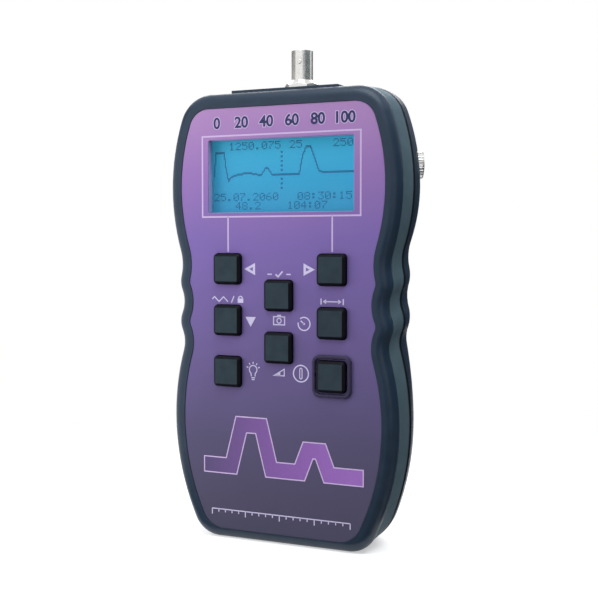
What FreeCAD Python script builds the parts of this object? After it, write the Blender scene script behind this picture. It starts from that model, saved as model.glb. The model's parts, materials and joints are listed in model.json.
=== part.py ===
import FreeCAD, Part
import Sketcher
import math
import os
import re

# Hand-held reflectometer, standing upright: front towards -Y, up is +Z,
# origin at the middle of the flat bottom end. All sizes are in mm.
# A size that ends in _forward is a position measured from mid-depth towards the front.

doc = FreeCAD.newDocument("reflectometer")
sheet = doc.addObject("Spreadsheet::Sheet", "Sizes")

SIZES = (
    ("case_height", 200, "bottom end to top end"),
    ("case_depth", 40, "front rim to back"),
    ("upper_drop", 42.3, "widest place of the upper bulge below the top end"),
    ("upper_side_radius", 95, "side arc from there to the top corner"),
    ("lower_step", 1.3, "lower bulge narrower than the upper one, each side"),
    ("lower_drop", 51.9, "widest place of the lower bulge below the grip middle"),
    ("lower_tuck", 3.5, "lower bulge narrower still at the back, each side"),
    ("lower_side_radius", 110, "side arc from there to the bottom corner"),
    ("grip_step", 4.2, "finger crests inside the upper bulge"),
    ("grip_drop", 51.2, "hollow between the two crests below the upper widest place"),
    ("grip_pitch", 18.1, "crest to crest"),
    ("grip_hollow", 1.8, "depth of the hollows between the crests"),
    ("grip_fade", 1.3, "hollow depth lost between the joint and the back"),
    ("grip_rise", 2.2, "rise of the crests from the crease to the joint"),
    ("rear_rise", 3.5, "further rise of the crests from the joint to the back"),
    ("shoulder_radius", 20, "hollow above the upper crest"),
    ("shoulder_rise", 7.7, "bottom of that hollow above the crest"),
    ("heel_radius", 12, "hollow below the lower crest"),
    ("heel_drop", 9.4, "bottom of that hollow below the crest"),
    ("top_corner_radius", 17, "upper corners of the outline"),
    ("bottom_corner_radius", 24, "lower corners of the outline behind the rim"),
    ("rim_corner_radius", 14, "lower corners of the outline at the rim"),
    ("panel_corner_radius", 19, "lower corners of the outline that the face panel follows"),
    ("joint_forward", 4, "middle of the gap between the two shells"),
    ("joint_gap", 0.6, "shadow gap between the two shells"),
    ("rim_inset", 0.9, "front rim inside the outline at the joint"),
    ("rim_step", 0.6, "front rim below the top end"),
    ("rim_depth", 4.4, "front rim down to the crease"),
    ("rim_round", 4.2, "rounding of the front rim"),
    ("crease_inset", 1.7, "front edge of the side grips inside the outline"),
    ("grip_wall", 3.2, "thickness of the side grips"),
    ("grip_end", 26, "half distance between the grip ends on the flat ends"),
    ("strip_proud", 0.6, "strip between the grips above the top end"),
    ("grip_seam", 0.2, "seam between a grip end and the front shell"),
    ("skirt_wall", 2.2, "front shell wall behind the grips"),
    ("rear_wall", 2.6, "wall of the rear shell"),
    ("rear_round_width", 20, "sideways half axis of the rear rounding"),
    ("rear_round_angle", 65, "share of the quarter ellipse that is used, degrees"),
    ("end_round", 6, "rounding of the back edge at both ends"),
    ("end_trim", 0.05, "cut off the rear shell to make both ends truly flat"),
    ("ledge_depth", 2.6, "ledge inside the rear shell that carries the seal"),
    ("gasket_inset", 3.6, "outside of the seal inside the outline"),
    ("gasket_width", 1.4, "width of the seal"),
    ("overlay_inset", 7.3, "face panel inside the outline, sides"),
    ("overlay_bottom", 4.2, "lower edge of the face panel"),
    ("overlay_drop", 7.4, "upper edge of the face panel below the top end"),
    ("overlay_recess", 0.8, "depth of the recess for the face panel"),
    ("overlay_thickness", 0.6, "thickness of the face panel"),
    ("overlay_gap", 0.12, "gap round the face panel"),
    ("front_wall", 2.6, "front wall behind the face panel"),
    ("window_width", 71, "display opening"),
    ("window_height", 32.5, "display opening"),
    ("window_corner", 1.2, "corner radius of the display opening"),
    ("pane_lap", 4.5, "clear pane beyond the display opening"),
    ("pane_thickness", 1, "clear pane"),
    ("bezel_depth", 5.6, "metal frame of the display"),
    ("bezel_sheet", 0.6, "sheet of the metal frame"),
    ("bezel_lap", 0.8, "opening in the metal frame beyond the display opening"),
    ("cell_glass_depth", 2.8, "display glass"),
    ("display_board_ends", 6.5, "display circuit board beside the pane"),
    ("display_board_edges", 1.35, "display circuit board above and below the pane"),
    ("display_room", 5, "room beside the display circuit board"),
    ("display_post_gap", 0.5, "display circuit board below the top case posts"),
    ("board_thickness", 1.6, "all circuit boards"),
    ("board_hole_gap", 0.2, "screw holes in the circuit boards"),
    ("display_screw_edge", 3, "display board screws from the board's edges"),
    ("display_boss_radius", 2.5, "posts for the display board"),
    ("display_screw_radius", 1, "display board screws"),
    ("display_screw_head", 1.4, "height of their heads"),
    ("screw_bite", 4, "board screws in their posts"),
    ("screw_room", 1, "screw holes deeper than the screws"),
    ("header_length", 50, "pin strip between the boards"),
    ("header_width", 2.5, "pin strip between the boards"),
    ("header_height", 2.4, "pin strip between the boards"),
    ("header_drop", 3, "pin strip below the upper edge of the main board"),
    ("board_width", 76, "main board"),
    ("board_bottom", 18, "lower edge of the main board"),
    ("board_step", 0.5, "upper edge of the main board below that of the display board"),
    ("board_screw_x", 34.5, "main board screws"),
    ("board_screw_low", 26, "main board screws, lower pair"),
    ("board_screw_rise", 11, "main board screws, upper pair above the top keys"),
    ("board_boss_radius", 3, "posts for the main board"),
    ("board_screw_radius", 1.1, "main board screws"),
    ("board_screw_head", 1.6, "height of their heads"),
    ("key_column", 25.4, "key columns either side of the middle"),
    ("key_row", 22.86, "key rows"),
    ("key_drop", 24.75, "middle of the top row below the display opening"),
    ("key_opening", 14, "openings for the keys"),
    ("key_opening_corner", 1.9, "corner radius of the openings"),
    ("key_width", 13.3, "key caps"),
    ("key_corner", 1.6, "corner radius of the key caps"),
    ("key_proud", 2.2, "key tops in front of the rim"),
    ("key_bevel", 0.95, "bevel round the key tops"),
    ("key_tail", 4.2, "key caps behind the front wall"),
    ("key_skin", 1.5, "wall of the key caps"),
    ("key_post", 6.2, "post inside the key caps"),
    ("switch_width", 12, "tact switches"),
    ("switch_height", 4, "tact switches"),
    ("switch_well_radius", 3.4, "well for the plunger"),
    ("switch_well_depth", 2.5, "well for the plunger"),
    ("plunger_radius", 3.1, "round foot of the plungers"),
    ("plunger_lift", 0.8, "foot above the floor of the well"),
    ("plunger_foot", 2.3, "height of the foot"),
    ("plunger_stem", 3.8, "square stem"),
    ("plunger_engage", 1, "stem inside the key cap"),
    ("guard_outer", 18.4, "frame round the power key"),
    ("guard_inner", 15, "frame round the power key"),
    ("guard_corner", 3.6, "corner radius of the frame"),
    ("guard_height", 1.3, "frame in front of the face panel"),
    ("guard_round", 0.65, "rounding of the frame"),
    ("screw_top_x", 30, "case screws, top pair"),
    ("screw_top_drop", 11, "case screws, top pair below the top end"),
    ("screw_low_x", 25, "case screws, lower pair"),
    ("screw_low_z", 13, "case screws, lower pair"),
    ("screw_boss_radius", 4, "posts for the case screws"),
    ("screw_radius", 1.5, "case screws"),
    ("screw_clearance", 1.7, "clearance holes for the case screws"),
    ("screw_reach", 4, "case screws beyond the joint"),
    ("screw_head_radius", 2.8, "case screw heads"),
    ("screw_head_height", 2.2, "case screw heads"),
    ("screw_sink_radius", 3.3, "sunk holes for the screw heads"),
    ("screw_sink_depth", 6, "sunk holes for the screw heads"),
    ("insert_radius", 2.4, "threaded inserts"),
    ("insert_length", 6, "threaded inserts"),
    ("insert_room", 2, "insert holes deeper than the inserts"),
    ("socket_room", 0.2, "room round the flanges of both sockets"),
    ("test_socket_y", 3.4, "axis of the test socket behind mid-depth"),
    ("test_turn", 10, "nut and lugs turned about the axis, degrees"),
    ("test_hole_radius", 4.85, "hole for the test socket"),
    ("test_thread_radius", 4.75, "thread of the test socket"),
    ("test_flange_radius", 6.9, "flange inside the case"),
    ("test_flange_depth", 4, "flange inside the case"),
    ("test_barrel_radius", 4.83, "barrel above the nut"),
    ("test_height", 18.9, "barrel top above the case"),
    ("test_mating_length", 4.2, "barrel in front of the lugs"),
    ("test_bore_radius", 4.06, "inside of the barrel"),
    ("test_bore_depth", 10.5, "inside of the barrel"),
    ("test_seat_radius", 3.3, "seat of the insulator"),
    ("test_lug_radius", 0.95, "bayonet lugs"),
    ("test_lug_reach", 5.5, "bayonet lugs, out from the axis"),
    ("test_nose_radius", 2.4, "insulator round the contact"),
    ("test_nose_drop", 2.6, "insulator end below the barrel top"),
    ("test_tail_depth", 9, "insulator inside the case"),
    ("contact_radius", 1.15, "centre contact"),
    ("contact_bore_radius", 0.7, "bore of the centre contact"),
    ("contact_bore_depth", 5, "bore of the centre contact"),
    ("contact_tail_depth", 13.5, "contact end inside the case"),
    ("washer_thickness", 0.7, "washer under the nut"),
    ("washer_radius", 7.6, "washer under the nut"),
    ("nut_across_flats", 14.3, "nut of the test socket"),
    ("nut_height", 5.1, "nut of the test socket"),
    ("nut_face_radius", 5.1, "flat ring on top of the nut"),
    ("nut_slope", 39, "slope of the corner chamfer, degrees"),
    ("lead_radius", 1.4, "lead from the test socket"),
    ("lead_bend", 5, "bend of the lead"),
    ("lead_drop", 12, "lead end below the upper edge of the main board"),
    ("charge_y", 10.7, "middle of the charge socket's seat behind mid-depth"),
    ("charge_tilt", 27.5, "charge socket turned to the back, square to the curved side, degrees"),
    ("charge_drop", 33, "charge socket below the top end"),
    ("charge_sink", 5.2, "flat seat of the ring nut inside the half width"),
    ("charge_seat_radius", 6.4, "flat seat of the ring nut"),
    ("charge_boss_radius", 8, "thickened wall under the seat"),
    ("charge_wall", 3, "thickened wall under the seat"),
    ("charge_boss_drop", 1, "start of the thickening behind the seat"),
    ("charge_hole_radius", 4.1, "hole for the charge socket"),
    ("charge_thread_radius", 4, "thread of the charge socket"),
    ("charge_bore_radius", 2.85, "bore of the charge socket"),
    ("charge_flange_radius", 5.4, "flange inside the case"),
    ("charge_flange_depth", 2.4, "flange inside the case"),
    ("charge_front", 3.3, "barrel end in front of the seat"),
    ("charge_floor", 6.5, "floor of the socket behind the seat"),
    ("charge_length", 14, "barrel behind the seat"),
    ("charge_pin_radius", 1, "centre pin"),
    ("charge_pin_drop", 1, "pin end behind the barrel end"),
    ("charge_pin_taper", 0.5, "taper of the pin end"),
    ("charge_pin_tail", 2, "pin behind the barrel"),
    ("charge_nut_radius", 6.1, "ring nut"),
    ("charge_nut_height", 3, "ring nut"),
    ("charge_nut_bevel", 0.5, "ring nut"),
    ("knurl_count", 28, "grooves round the ring nut"),
    ("knurl_depth", 0.35, "grooves round the ring nut"),
    ("cell_radius", 7.2, "round cells"),
    ("cell_length", 50.5, "round cells over the button"),
    ("cell_button_radius", 2.7, "button of a cell"),
    ("cell_button_height", 1.5, "button of a cell"),
    ("cell_gap", 0.5, "gap between the cells"),
    ("cell_lift", 0.1, "cells above the floor of the tray"),
    ("cell_cover_gap", 0.8, "cells below the battery door"),
    ("tray_z", 52, "middle of the battery tray"),
    ("tray_wall", 1.4, "wall of the battery tray"),
    ("plate_thickness", 0.5, "contact plates"),
    ("spring_height", 6.4, "leaf springs between tray and cell"),
    ("plate_width", 8, "contact plates and springs"),
    ("spring_sheet", 0.4, "leaf springs"),
    ("door_margin", 0.8, "opening for the battery door beyond the inside of the tray"),
    ("door_drop", 0.5, "middle of the opening below that of the tray"),
    ("door_gap", 0.3, "gap round the battery door"),
    ("door_thickness", 2, "battery door"),
    ("door_sink", 0.3, "door face below the back of the case"),
    ("door_pin_radius", 0.7, "hinge pins of the battery door"),
    ("door_socket_radius", 0.78, "sockets for the hinge pins"),
    ("door_pin_length", 1.6, "hinge pins beyond the door edge"),
    ("door_pin_gap", 0.2, "gap at the ends of the hinge pins"),
    ("door_slot_length", 18, "finger slots in the door"),
    ("door_slot_width", 1.8, "finger slots in the door"),
    ("door_slot_pitch", 3.6, "finger slots in the door"),
    ("door_slot_depth", 0.7, "finger slots in the door"),
    ("door_slot_margin", 3, "upper edge of the door to the first slot pitch"),
    ("tongue_width", 12, "snap tongue of the door"),
    ("tongue_thickness", 1.2, "snap tongue of the door"),
    ("tongue_reach", 3.2, "snap tongue of the door"),
    ("chip_width", 14, "chips on the main board"),
    ("chip_height", 1.5, "chips on the main board"),
)
ALIASES = {entry[0] for entry in SIZES}
for row, (alias, number, note) in enumerate(SIZES, 1):
    sheet.set("A%d" % row, note)
    sheet.set("B%d" % row, str(number))
    sheet.setAlias("B%d" % row, alias)
doc.recompute()


def linked(formula):
    """A formula of plain size names, as an expression on the sheet."""
    return re.sub("[a-z_]+", lambda m: "Sizes." + m[0] if m[0] in ALIASES else m[0], formula)


def size(formula):
    return float(sheet.evalExpression(linked(formula)))


FRONT = "case_depth / 2"
BACK = "-case_depth / 2"
FLOOR = "case_depth / 2 - overlay_recess"
INNER = "case_depth / 2 - overlay_recess - front_wall"
CREASE = "case_depth / 2 - rim_depth"
FRONT_EDGE = "joint_forward + joint_gap / 2"
REAR_EDGE = "joint_forward - joint_gap / 2"
PANE_BACK = INNER + " - pane_thickness"
DISPLAY_BOARD = PANE_BACK + " - bezel_depth"
BOARD_FORWARD = DISPLAY_BOARD + " - board_thickness - header_height"
BOARD_BACK = BOARD_FORWARD + " - board_thickness"
SEAT_BACK = "-case_depth / 2 + screw_sink_depth"
REAR_INNER = "-case_depth / 2 + rear_wall"
PANE_WIDTH = "(window_width + 2 * pane_lap)"
PANE_HEIGHT = "(window_height + 2 * pane_lap)"
DISPLAY_WIDTH = "(%s + 2 * display_board_ends)" % PANE_WIDTH
DISPLAY_HEIGHT = "(%s + 2 * display_board_edges)" % PANE_HEIGHT
HALF_WIDTH = "(%s / 2 + display_room + skirt_wall + grip_wall)" % DISPLAY_WIDTH
UPPER_Z = "(case_height - upper_drop)"
GRIP_Z = "(%s - grip_drop)" % UPPER_Z
LOWER_Z = "(%s - lower_drop)" % GRIP_Z
OVERLAY_TOP = "case_height - overlay_drop"
SCREW_TOP_Z = "case_height - screw_top_drop"
WINDOW_Z = "(%s - screw_boss_radius - display_post_gap - %s / 2)" % (SCREW_TOP_Z, DISPLAY_HEIGHT)
KEY_TOP_Z = "(%s - window_height / 2 - key_drop)" % WINDOW_Z
BOARD_TOP = "(%s + %s / 2 - board_step)" % (WINDOW_Z, DISPLAY_HEIGHT)
HEADER_Z = BOARD_TOP + " - header_drop"
CHARGE_X = "(%s - charge_sink)" % HALF_WIDTH
CHARGE_Z = "case_height - charge_drop"
CELL_PITCH = "(2 * cell_radius + cell_gap)"
CELL_Y = "(case_depth / 2 - door_sink - door_thickness - cell_cover_gap - cell_radius)"
TRAY_WIDTH = "(4 * %s + 2 * cell_gap)" % CELL_PITCH
TRAY_HEIGHT = "(cell_length + plate_thickness + spring_height)"
TRAY_FRONT = "(%s - cell_radius - cell_lift - tray_wall)" % CELL_Y
OPENING_WIDTH = "(%s + 2 * door_margin)" % TRAY_WIDTH
OPENING_HEIGHT = "(%s + 2 * door_margin)" % TRAY_HEIGHT
OPENING_Z = "(tray_z - door_drop)"
DOOR_WIDTH = "(%s - 2 * door_gap)" % OPENING_WIDTH
DOOR_TOP = "(%s - 2 * door_gap - door_thickness / 2)" % OPENING_HEIGHT
DOOR_AXIS_Z = "%s - %s / 2 + door_gap + door_thickness / 2" % (OPENING_Z, OPENING_HEIGHT)
DOOR_MIDDLE = "-case_depth / 2 + door_sink + door_thickness / 2"
BARREL_TOP = "case_height + test_height"


def new_body(label):
    body = doc.addObject("PartDesign::Body", label)
    body.Label = label
    return body


def new_sketch(body, name, plane="XZ_Plane", offset="0"):
    """A sketch on an origin plane of the body, moved along the plane's normal."""
    sketch = body.newObject("Sketcher::SketchObject", body.Name + "_" + name)
    support = [item for item in body.Origin.OriginFeatures if item.Role == plane]
    sketch.AttachmentSupport = (support[0], [""])
    sketch.MapMode = "FlatFace"
    sketch.setExpression("AttachmentOffset.Base.z", linked(offset))
    return sketch


def measure(sketch, kind, items, formula):
    index = sketch.addConstraint(Sketcher.Constraint(kind, *items, size(formula)))
    sketch.setExpression("Constraints[%d]" % index, linked(formula))


def circle(sketch, radius, x="0", y="0"):
    middle = FreeCAD.Vector(size(x), size(y), 0)
    curve = sketch.addGeometry(Part.Circle(middle, FreeCAD.Vector(0, 0, 1), size(radius)))
    measure(sketch, "Radius", (curve,), radius)
    measure(sketch, "DistanceX", (-1, 1, curve, 3), x)
    measure(sketch, "DistanceY", (-1, 1, curve, 3), y)


def polygon(sketch, corners):
    spots = [FreeCAD.Vector(size(x), size(y), 0) for x, y in corners]
    lines = []
    for begin, end in zip(spots, spots[1:] + spots[:1]):
        lines.append(sketch.addGeometry(Part.LineSegment(begin, end)))
    for line, following in zip(lines, lines[1:] + lines[:1]):
        sketch.addConstraint(Sketcher.Constraint("Coincident", line, 2, following, 1))
    for line, (x, y) in zip(lines, corners):
        measure(sketch, "DistanceX", (-1, 1, line, 1), x)
        measure(sketch, "DistanceY", (-1, 1, line, 1), y)


def edges_of(width, height, x, y):
    left = "%s - (%s) / 2" % (x, width)
    right = "%s + (%s) / 2" % (x, width)
    low = "%s - (%s) / 2" % (y, height)
    high = "%s + (%s) / 2" % (y, height)
    return left, right, low, high


def rectangle(sketch, width, height, x="0", y="0"):
    left, right, low, high = edges_of(width, height, x, y)
    polygon(sketch, [(left, low), (right, low), (right, high), (left, high)])


def rounded(sketch, width, height, radius, x="0", y="0"):
    """A rectangle with equal round corners, fully constrained."""
    names = edges_of(width, height, x, y)
    left, right, low, high = [size(name) for name in names]
    bend = size(radius)
    quarter = math.pi / 2
    middles = (
        (right - bend, high - bend),
        (left + bend, high - bend),
        (left + bend, low + bend),
        (right - bend, low + bend),
    )
    sides = (
        ((right - bend, high), (left + bend, high)),
        ((left, high - bend), (left, low + bend)),
        ((left + bend, low), (right - bend, low)),
        ((right, low + bend), (right, high - bend)),
    )
    arcs = []
    lines = []
    for turn, (middle, (begin, end)) in enumerate(zip(middles, sides)):
        ring = Part.Circle(FreeCAD.Vector(*middle, 0), FreeCAD.Vector(0, 0, 1), bend)
        arcs.append(sketch.addGeometry(Part.ArcOfCircle(ring, turn * quarter, (turn + 1) * quarter)))
        straight = Part.LineSegment(FreeCAD.Vector(*begin, 0), FreeCAD.Vector(*end, 0))
        lines.append(sketch.addGeometry(straight))
    for turn in range(4):
        sketch.addConstraint(Sketcher.Constraint("Tangent", arcs[turn], 2, lines[turn], 1))
        sketch.addConstraint(Sketcher.Constraint("Tangent", lines[turn], 2, arcs[(turn + 1) % 4], 1))
    for turn, kind in enumerate(("Horizontal", "Vertical", "Horizontal", "Vertical")):
        sketch.addConstraint(Sketcher.Constraint(kind, lines[turn]))
    for turn in (1, 2, 3):
        sketch.addConstraint(Sketcher.Constraint("Equal", arcs[0], arcs[turn]))
    measure(sketch, "Radius", (arcs[0],), radius)
    measure(sketch, "DistanceX", (-1, 1, lines[1], 1), names[0])
    measure(sketch, "DistanceX", (-1, 1, lines[3], 1), names[1])
    measure(sketch, "DistanceY", (-1, 1, lines[2], 1), names[2])
    measure(sketch, "DistanceY", (-1, 1, lines[0], 1), names[3])


def bulge_radius(half_width, widest_z, hollow, hollow_radius):
    """Radius of the side arc that runs from the widest place of a bulge into a hollow beside it."""
    step = half_width - hollow[0] + hollow_radius
    run = hollow[1] - widest_z
    return (run ** 2 + step ** 2) / (2 * step) - hollow_radius


def meeting(here, there, radius):
    """The point on the line from one centre towards another, at the first arc's radius."""
    run = there[0] - here[0]
    climb = there[1] - here[1]
    share = radius / math.hypot(run, climb)
    return here[0] + share * run, here[1] + share * climb


def side_arcs(inset, bottom, top, hollow, rise, tuck, bottom_radius):
    """Right side of the case outline: eleven arcs, each tangent to the next, with their end points."""
    half_pitch = size("grip_pitch") / 2
    bend = (half_pitch ** 2 + hollow ** 2) / (4 * hollow)
    half_width = size(HALF_WIDTH)
    lower_width = half_width - size("lower_step") - tuck
    crest_x = half_width - size("grip_step") - (size("grip_hollow") - hollow) / 2 - bend
    upper_z = size(UPPER_Z)
    lower_z = size(LOWER_Z)
    middle_z = size(GRIP_Z) + rise
    low_crest = (crest_x, middle_z - half_pitch)
    high_crest = (crest_x, middle_z + half_pitch)
    hollow_x = crest_x + math.sqrt(4 * bend ** 2 - half_pitch ** 2)
    shoulder_radius = size("shoulder_radius")
    shoulder_rise = size("shoulder_rise")
    shoulder_x = crest_x + math.sqrt((bend + shoulder_radius) ** 2 - shoulder_rise ** 2)
    shoulder = (shoulder_x, high_crest[1] + shoulder_rise)
    heel_radius = size("heel_radius")
    heel_drop = size("heel_drop")
    heel_x = crest_x + math.sqrt((bend + heel_radius) ** 2 - heel_drop ** 2)
    heel = (heel_x, low_crest[1] - heel_drop)
    chest_radius = bulge_radius(half_width, upper_z, shoulder, shoulder_radius)
    hip_radius = bulge_radius(lower_width, lower_z, heel, heel_radius)
    top_radius = size("top_corner_radius")
    upper_radius = size("upper_side_radius")
    lower_radius = size("lower_side_radius")
    upper = (half_width - upper_radius, upper_z)
    lower = (lower_width - lower_radius, lower_z)
    low_z = bottom + bottom_radius - inset
    high_z = top - top_radius + inset
    low_x = lower[0] + math.sqrt((lower_radius - bottom_radius) ** 2 - (low_z - lower_z) ** 2)
    high_x = upper[0] + math.sqrt((upper_radius - top_radius) ** 2 - (high_z - upper_z) ** 2)
    arcs = (
        ((low_x, low_z), bottom_radius - inset, False),
        (lower, lower_radius - inset, False),
        ((lower_width - hip_radius, lower_z), hip_radius - inset, False),
        (heel, heel_radius + inset, True),
        (low_crest, bend - inset, False),
        ((hollow_x, middle_z), bend + inset, True),
        (high_crest, bend - inset, False),
        (shoulder, shoulder_radius + inset, True),
        ((half_width - chest_radius, upper_z), chest_radius - inset, False),
        (upper, upper_radius - inset, False),
        ((high_x, high_z), top_radius - inset, False),
    )
    ends = [(low_x, bottom), meeting(lower, (low_x, low_z), lower_radius - inset)]
    ends.append((lower_width - inset, lower_z))
    for arc, following in zip(arcs[2:], arcs[3:9]):
        ends.append(meeting(arc[0], following[0], arc[1]))
    ends.append((half_width - inset, upper_z))
    ends.append(meeting(upper, (high_x, high_z), upper_radius - inset))
    ends.append((high_x, top))
    return arcs, ends


def outline(sketch, inset="0", bottom="0", top="case_height", hollow="grip_hollow", rise="0", tuck="0",
            corner="bottom_corner_radius"):
    """The closed case outline: both sides and the two flat ends, every edge held in place."""
    arcs, ends = side_arcs(*[size(formula) for formula in (inset, bottom, top, hollow, rise, tuck, corner)])
    low = [FreeCAD.Vector(side * ends[0][0], ends[0][1], 0) for side in (-1, 1)]
    high = [FreeCAD.Vector(side * ends[-1][0], ends[-1][1], 0) for side in (1, -1)]
    right = []
    left = []
    for (middle, radius, hollowed), begin, end in zip(arcs, ends, ends[1:]):
        turn = [math.atan2(spot[1] - middle[1], spot[0] - middle[0]) for spot in (begin, end)]
        if hollowed:
            turn = [angle % (2 * math.pi) for angle in reversed(turn)]
        ring = Part.Circle(FreeCAD.Vector(*middle, 0), FreeCAD.Vector(0, 0, 1), radius)
        right.append(Part.ArcOfCircle(ring, turn[0], turn[1]))
        ring = Part.Circle(FreeCAD.Vector(-middle[0], middle[1], 0), FreeCAD.Vector(0, 0, 1), radius)
        left.append(Part.ArcOfCircle(ring, math.pi - turn[1], math.pi - turn[0]))
    pieces = [Part.LineSegment(*low)] + right + [Part.LineSegment(*high)] + left[::-1]
    for piece in pieces:
        number = sketch.addGeometry(piece)
        sketch.addConstraint(Sketcher.Constraint("Block", number))


def pad(body, sketch, length, backwards=False, both=False):
    feature = body.newObject("PartDesign::Pad", sketch.Name + "_pad")
    feature.Profile = sketch
    feature.setExpression("Length", linked(length))
    feature.Reversed = backwards
    feature.SideType = "Symmetric" if both else "One side"
    sketch.Visibility = False
    body.Tip = feature
    return feature


def pocket(body, sketch, length, along_normal=False, both=False):
    feature = body.newObject("PartDesign::Pocket", sketch.Name + "_pocket")
    feature.Profile = sketch
    feature.setExpression("Length", linked(length))
    feature.Reversed = along_normal
    feature.SideType = "Symmetric" if both else "One side"
    body.Tip = feature
    return feature


def turned(body, sketch, axis):
    feature = body.newObject("PartDesign::Revolution", sketch.Name + "_turned")
    feature.Profile = sketch
    feature.ReferenceAxis = (sketch, [axis])
    feature.Angle = 360
    body.Tip = feature
    return feature


def loft(body, kind, sketches, ruled):
    feature = body.newObject(kind, sketches[0].Name + "_loft")
    feature.Profile = sketches[0]
    feature.Sections = sketches[1:]
    feature.Ruled = ruled
    body.Tip = feature
    return feature


def flat_face(feature, axis, formula):
    """Name of the flat face of a feature that lies across an axis at a position."""
    doc.recompute()
    place = size(formula)
    for number, face in enumerate(feature.Shape.Faces, 1):
        low = getattr(face.BoundBox, axis + "Min")
        high = getattr(face.BoundBox, axis + "Max")
        if abs(low - place) < 1e-4 and abs(high - place) < 1e-4:
            return "Face%d" % number
    raise RuntimeError("no flat face at " + formula)


def dress(body, kind, feature, name, prop, formula):
    work = body.newObject(kind, body.Name + "_" + kind.split("::")[1])
    work.Base = (feature, [name])
    work.setExpression(prop, linked(formula))
    body.Tip = work
    return work


def place(thing, x="0", y="0", z="0"):
    prefix = "LinkPlacement" if thing.isDerivedFrom("App::Link") else "Placement"
    thing.setExpression(prefix + ".Base.x", linked(x))
    thing.setExpression(prefix + ".Base.y", linked(y))
    thing.setExpression(prefix + ".Base.z", linked(z))


def swivel(thing, prop, axis, angle):
    """Turns a piece or a sketch about one of its own axes, by an angle in degrees."""
    rotation = FreeCAD.Rotation(FreeCAD.Vector(*axis), size(angle))
    setattr(thing, prop, FreeCAD.Placement(FreeCAD.Vector(), rotation))
    thing.setExpression(prop + ".Rotation.Angle", linked(angle + " * 1 deg"))


HEAD_DOWN = FreeCAD.Rotation(FreeCAD.Vector(1, 0, 0), 180)


def group(label, source, spots, flipped=()):
    """Several placed copies of one piece as one sub-part."""
    copies = []
    for number, (x, y, z) in enumerate(spots):
        copy = doc.addObject("App::Link", "%s_%d" % (label, number + 1))
        copy.LinkedObject = source
        if number in flipped:
            copy.LinkPlacement = FreeCAD.Placement(FreeCAD.Vector(), HEAD_DOWN)
        place(copy, x, y, z)
        copies.append(copy)
    whole = doc.addObject("Part::Compound", label)
    whole.Label = label
    whole.Links = copies
    return whole


parts = []

KEYS = (
    ("key_left_top", "-key_column", KEY_TOP_Z),
    ("key_left_middle", "-key_column", KEY_TOP_Z + " - key_row"),
    ("key_left_bottom", "-key_column", KEY_TOP_Z + " - 2 * key_row"),
    ("key_centre_top", "0", KEY_TOP_Z + " - key_row / 2"),
    ("key_centre_bottom", "0", KEY_TOP_Z + " - 3 * key_row / 2"),
    ("key_right_top", "key_column", KEY_TOP_Z),
    ("key_right_middle", "key_column", KEY_TOP_Z + " - key_row"),
    ("key_power", "key_column", KEY_TOP_Z + " - 2 * key_row"),
)
CASE_SCREWS = (
    ("-screw_top_x", SCREW_TOP_Z),
    ("screw_top_x", SCREW_TOP_Z),
    ("-screw_low_x", "screw_low_z"),
    ("screw_low_x", "screw_low_z"),
)
BOARD_SCREWS = (
    ("-board_screw_x", "board_screw_low"),
    ("board_screw_x", "board_screw_low"),
    ("-board_screw_x", KEY_TOP_Z + " + board_screw_rise"),
    ("board_screw_x", KEY_TOP_Z + " + board_screw_rise"),
)
DISPLAY_SCREWS = [
    ("%s * (%s / 2 - display_screw_edge)" % (side, DISPLAY_WIDTH),
     "%s %s (%s / 2 - display_screw_edge)" % (WINDOW_Z, way, DISPLAY_HEIGHT))
    for way in "-+" for side in ("-1", "1")
]

# Front shell: rounded rim, skirt behind the grips, posts and openings.
front = new_body("front_case")
sketch = new_sketch(front, "rim", offset=CREASE)
outline(sketch, "rim_inset", top="case_height - rim_step", corner="rim_corner_radius")
feature = pad(front, sketch, "rim_depth")
face = flat_face(feature, "Y", "-case_depth / 2")
dress(front, "PartDesign::Fillet", feature, face, "Radius", "rim_round")
sketch = new_sketch(front, "skirt", offset=CREASE)
outline(sketch, "grip_wall", "grip_wall", "case_height - grip_wall")
pad(front, sketch, CREASE + " - (" + FRONT_EDGE + ")", backwards=True)
sketch = new_sketch(front, "ends", offset=CREASE)
tall = "case_height + strip_proud"
rectangle(sketch, "2 * (grip_end - grip_seam)", tall, "0", "(%s) / 2" % tall)
pad(front, sketch, CREASE + " - (" + FRONT_EDGE + ")", backwards=True)
sketch = new_sketch(front, "hollow", offset=FRONT_EDGE)
INSIDE = "grip_wall + skirt_wall"
outline(sketch, INSIDE, INSIDE, "case_height - (%s)" % INSIDE)
pocket(front, sketch, INNER + " - (" + FRONT_EDGE + ")", along_normal=True)
sketch = new_sketch(front, "case_posts", offset=INNER)
for x, z in CASE_SCREWS:
    circle(sketch, "screw_boss_radius", x, z)
pad(front, sketch, INNER + " - joint_forward", backwards=True)
sketch = new_sketch(front, "board_posts", offset=INNER)
for x, z in BOARD_SCREWS:
    circle(sketch, "board_boss_radius", x, z)
pad(front, sketch, "%s - (%s)" % (INNER, BOARD_FORWARD), backwards=True)
sketch = new_sketch(front, "display_posts", offset=INNER)
for x, z in DISPLAY_SCREWS:
    circle(sketch, "display_boss_radius", x, z)
pad(front, sketch, "pane_thickness + bezel_depth", backwards=True)
sketch = new_sketch(front, "insert_holes", offset="joint_forward")
for x, z in CASE_SCREWS:
    circle(sketch, "insert_radius", x, z)
pocket(front, sketch, "insert_length + insert_room", along_normal=True)
sketch = new_sketch(front, "board_holes", offset=BOARD_FORWARD)
for x, z in BOARD_SCREWS:
    circle(sketch, "board_screw_radius", x, z)
pocket(front, sketch, "screw_bite + screw_room", along_normal=True)
sketch = new_sketch(front, "display_holes", offset=DISPLAY_BOARD)
for x, z in DISPLAY_SCREWS:
    circle(sketch, "display_screw_radius", x, z)
pocket(front, sketch, "screw_bite + screw_room", along_normal=True)
sketch = new_sketch(front, "recess", offset=FRONT)
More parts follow.
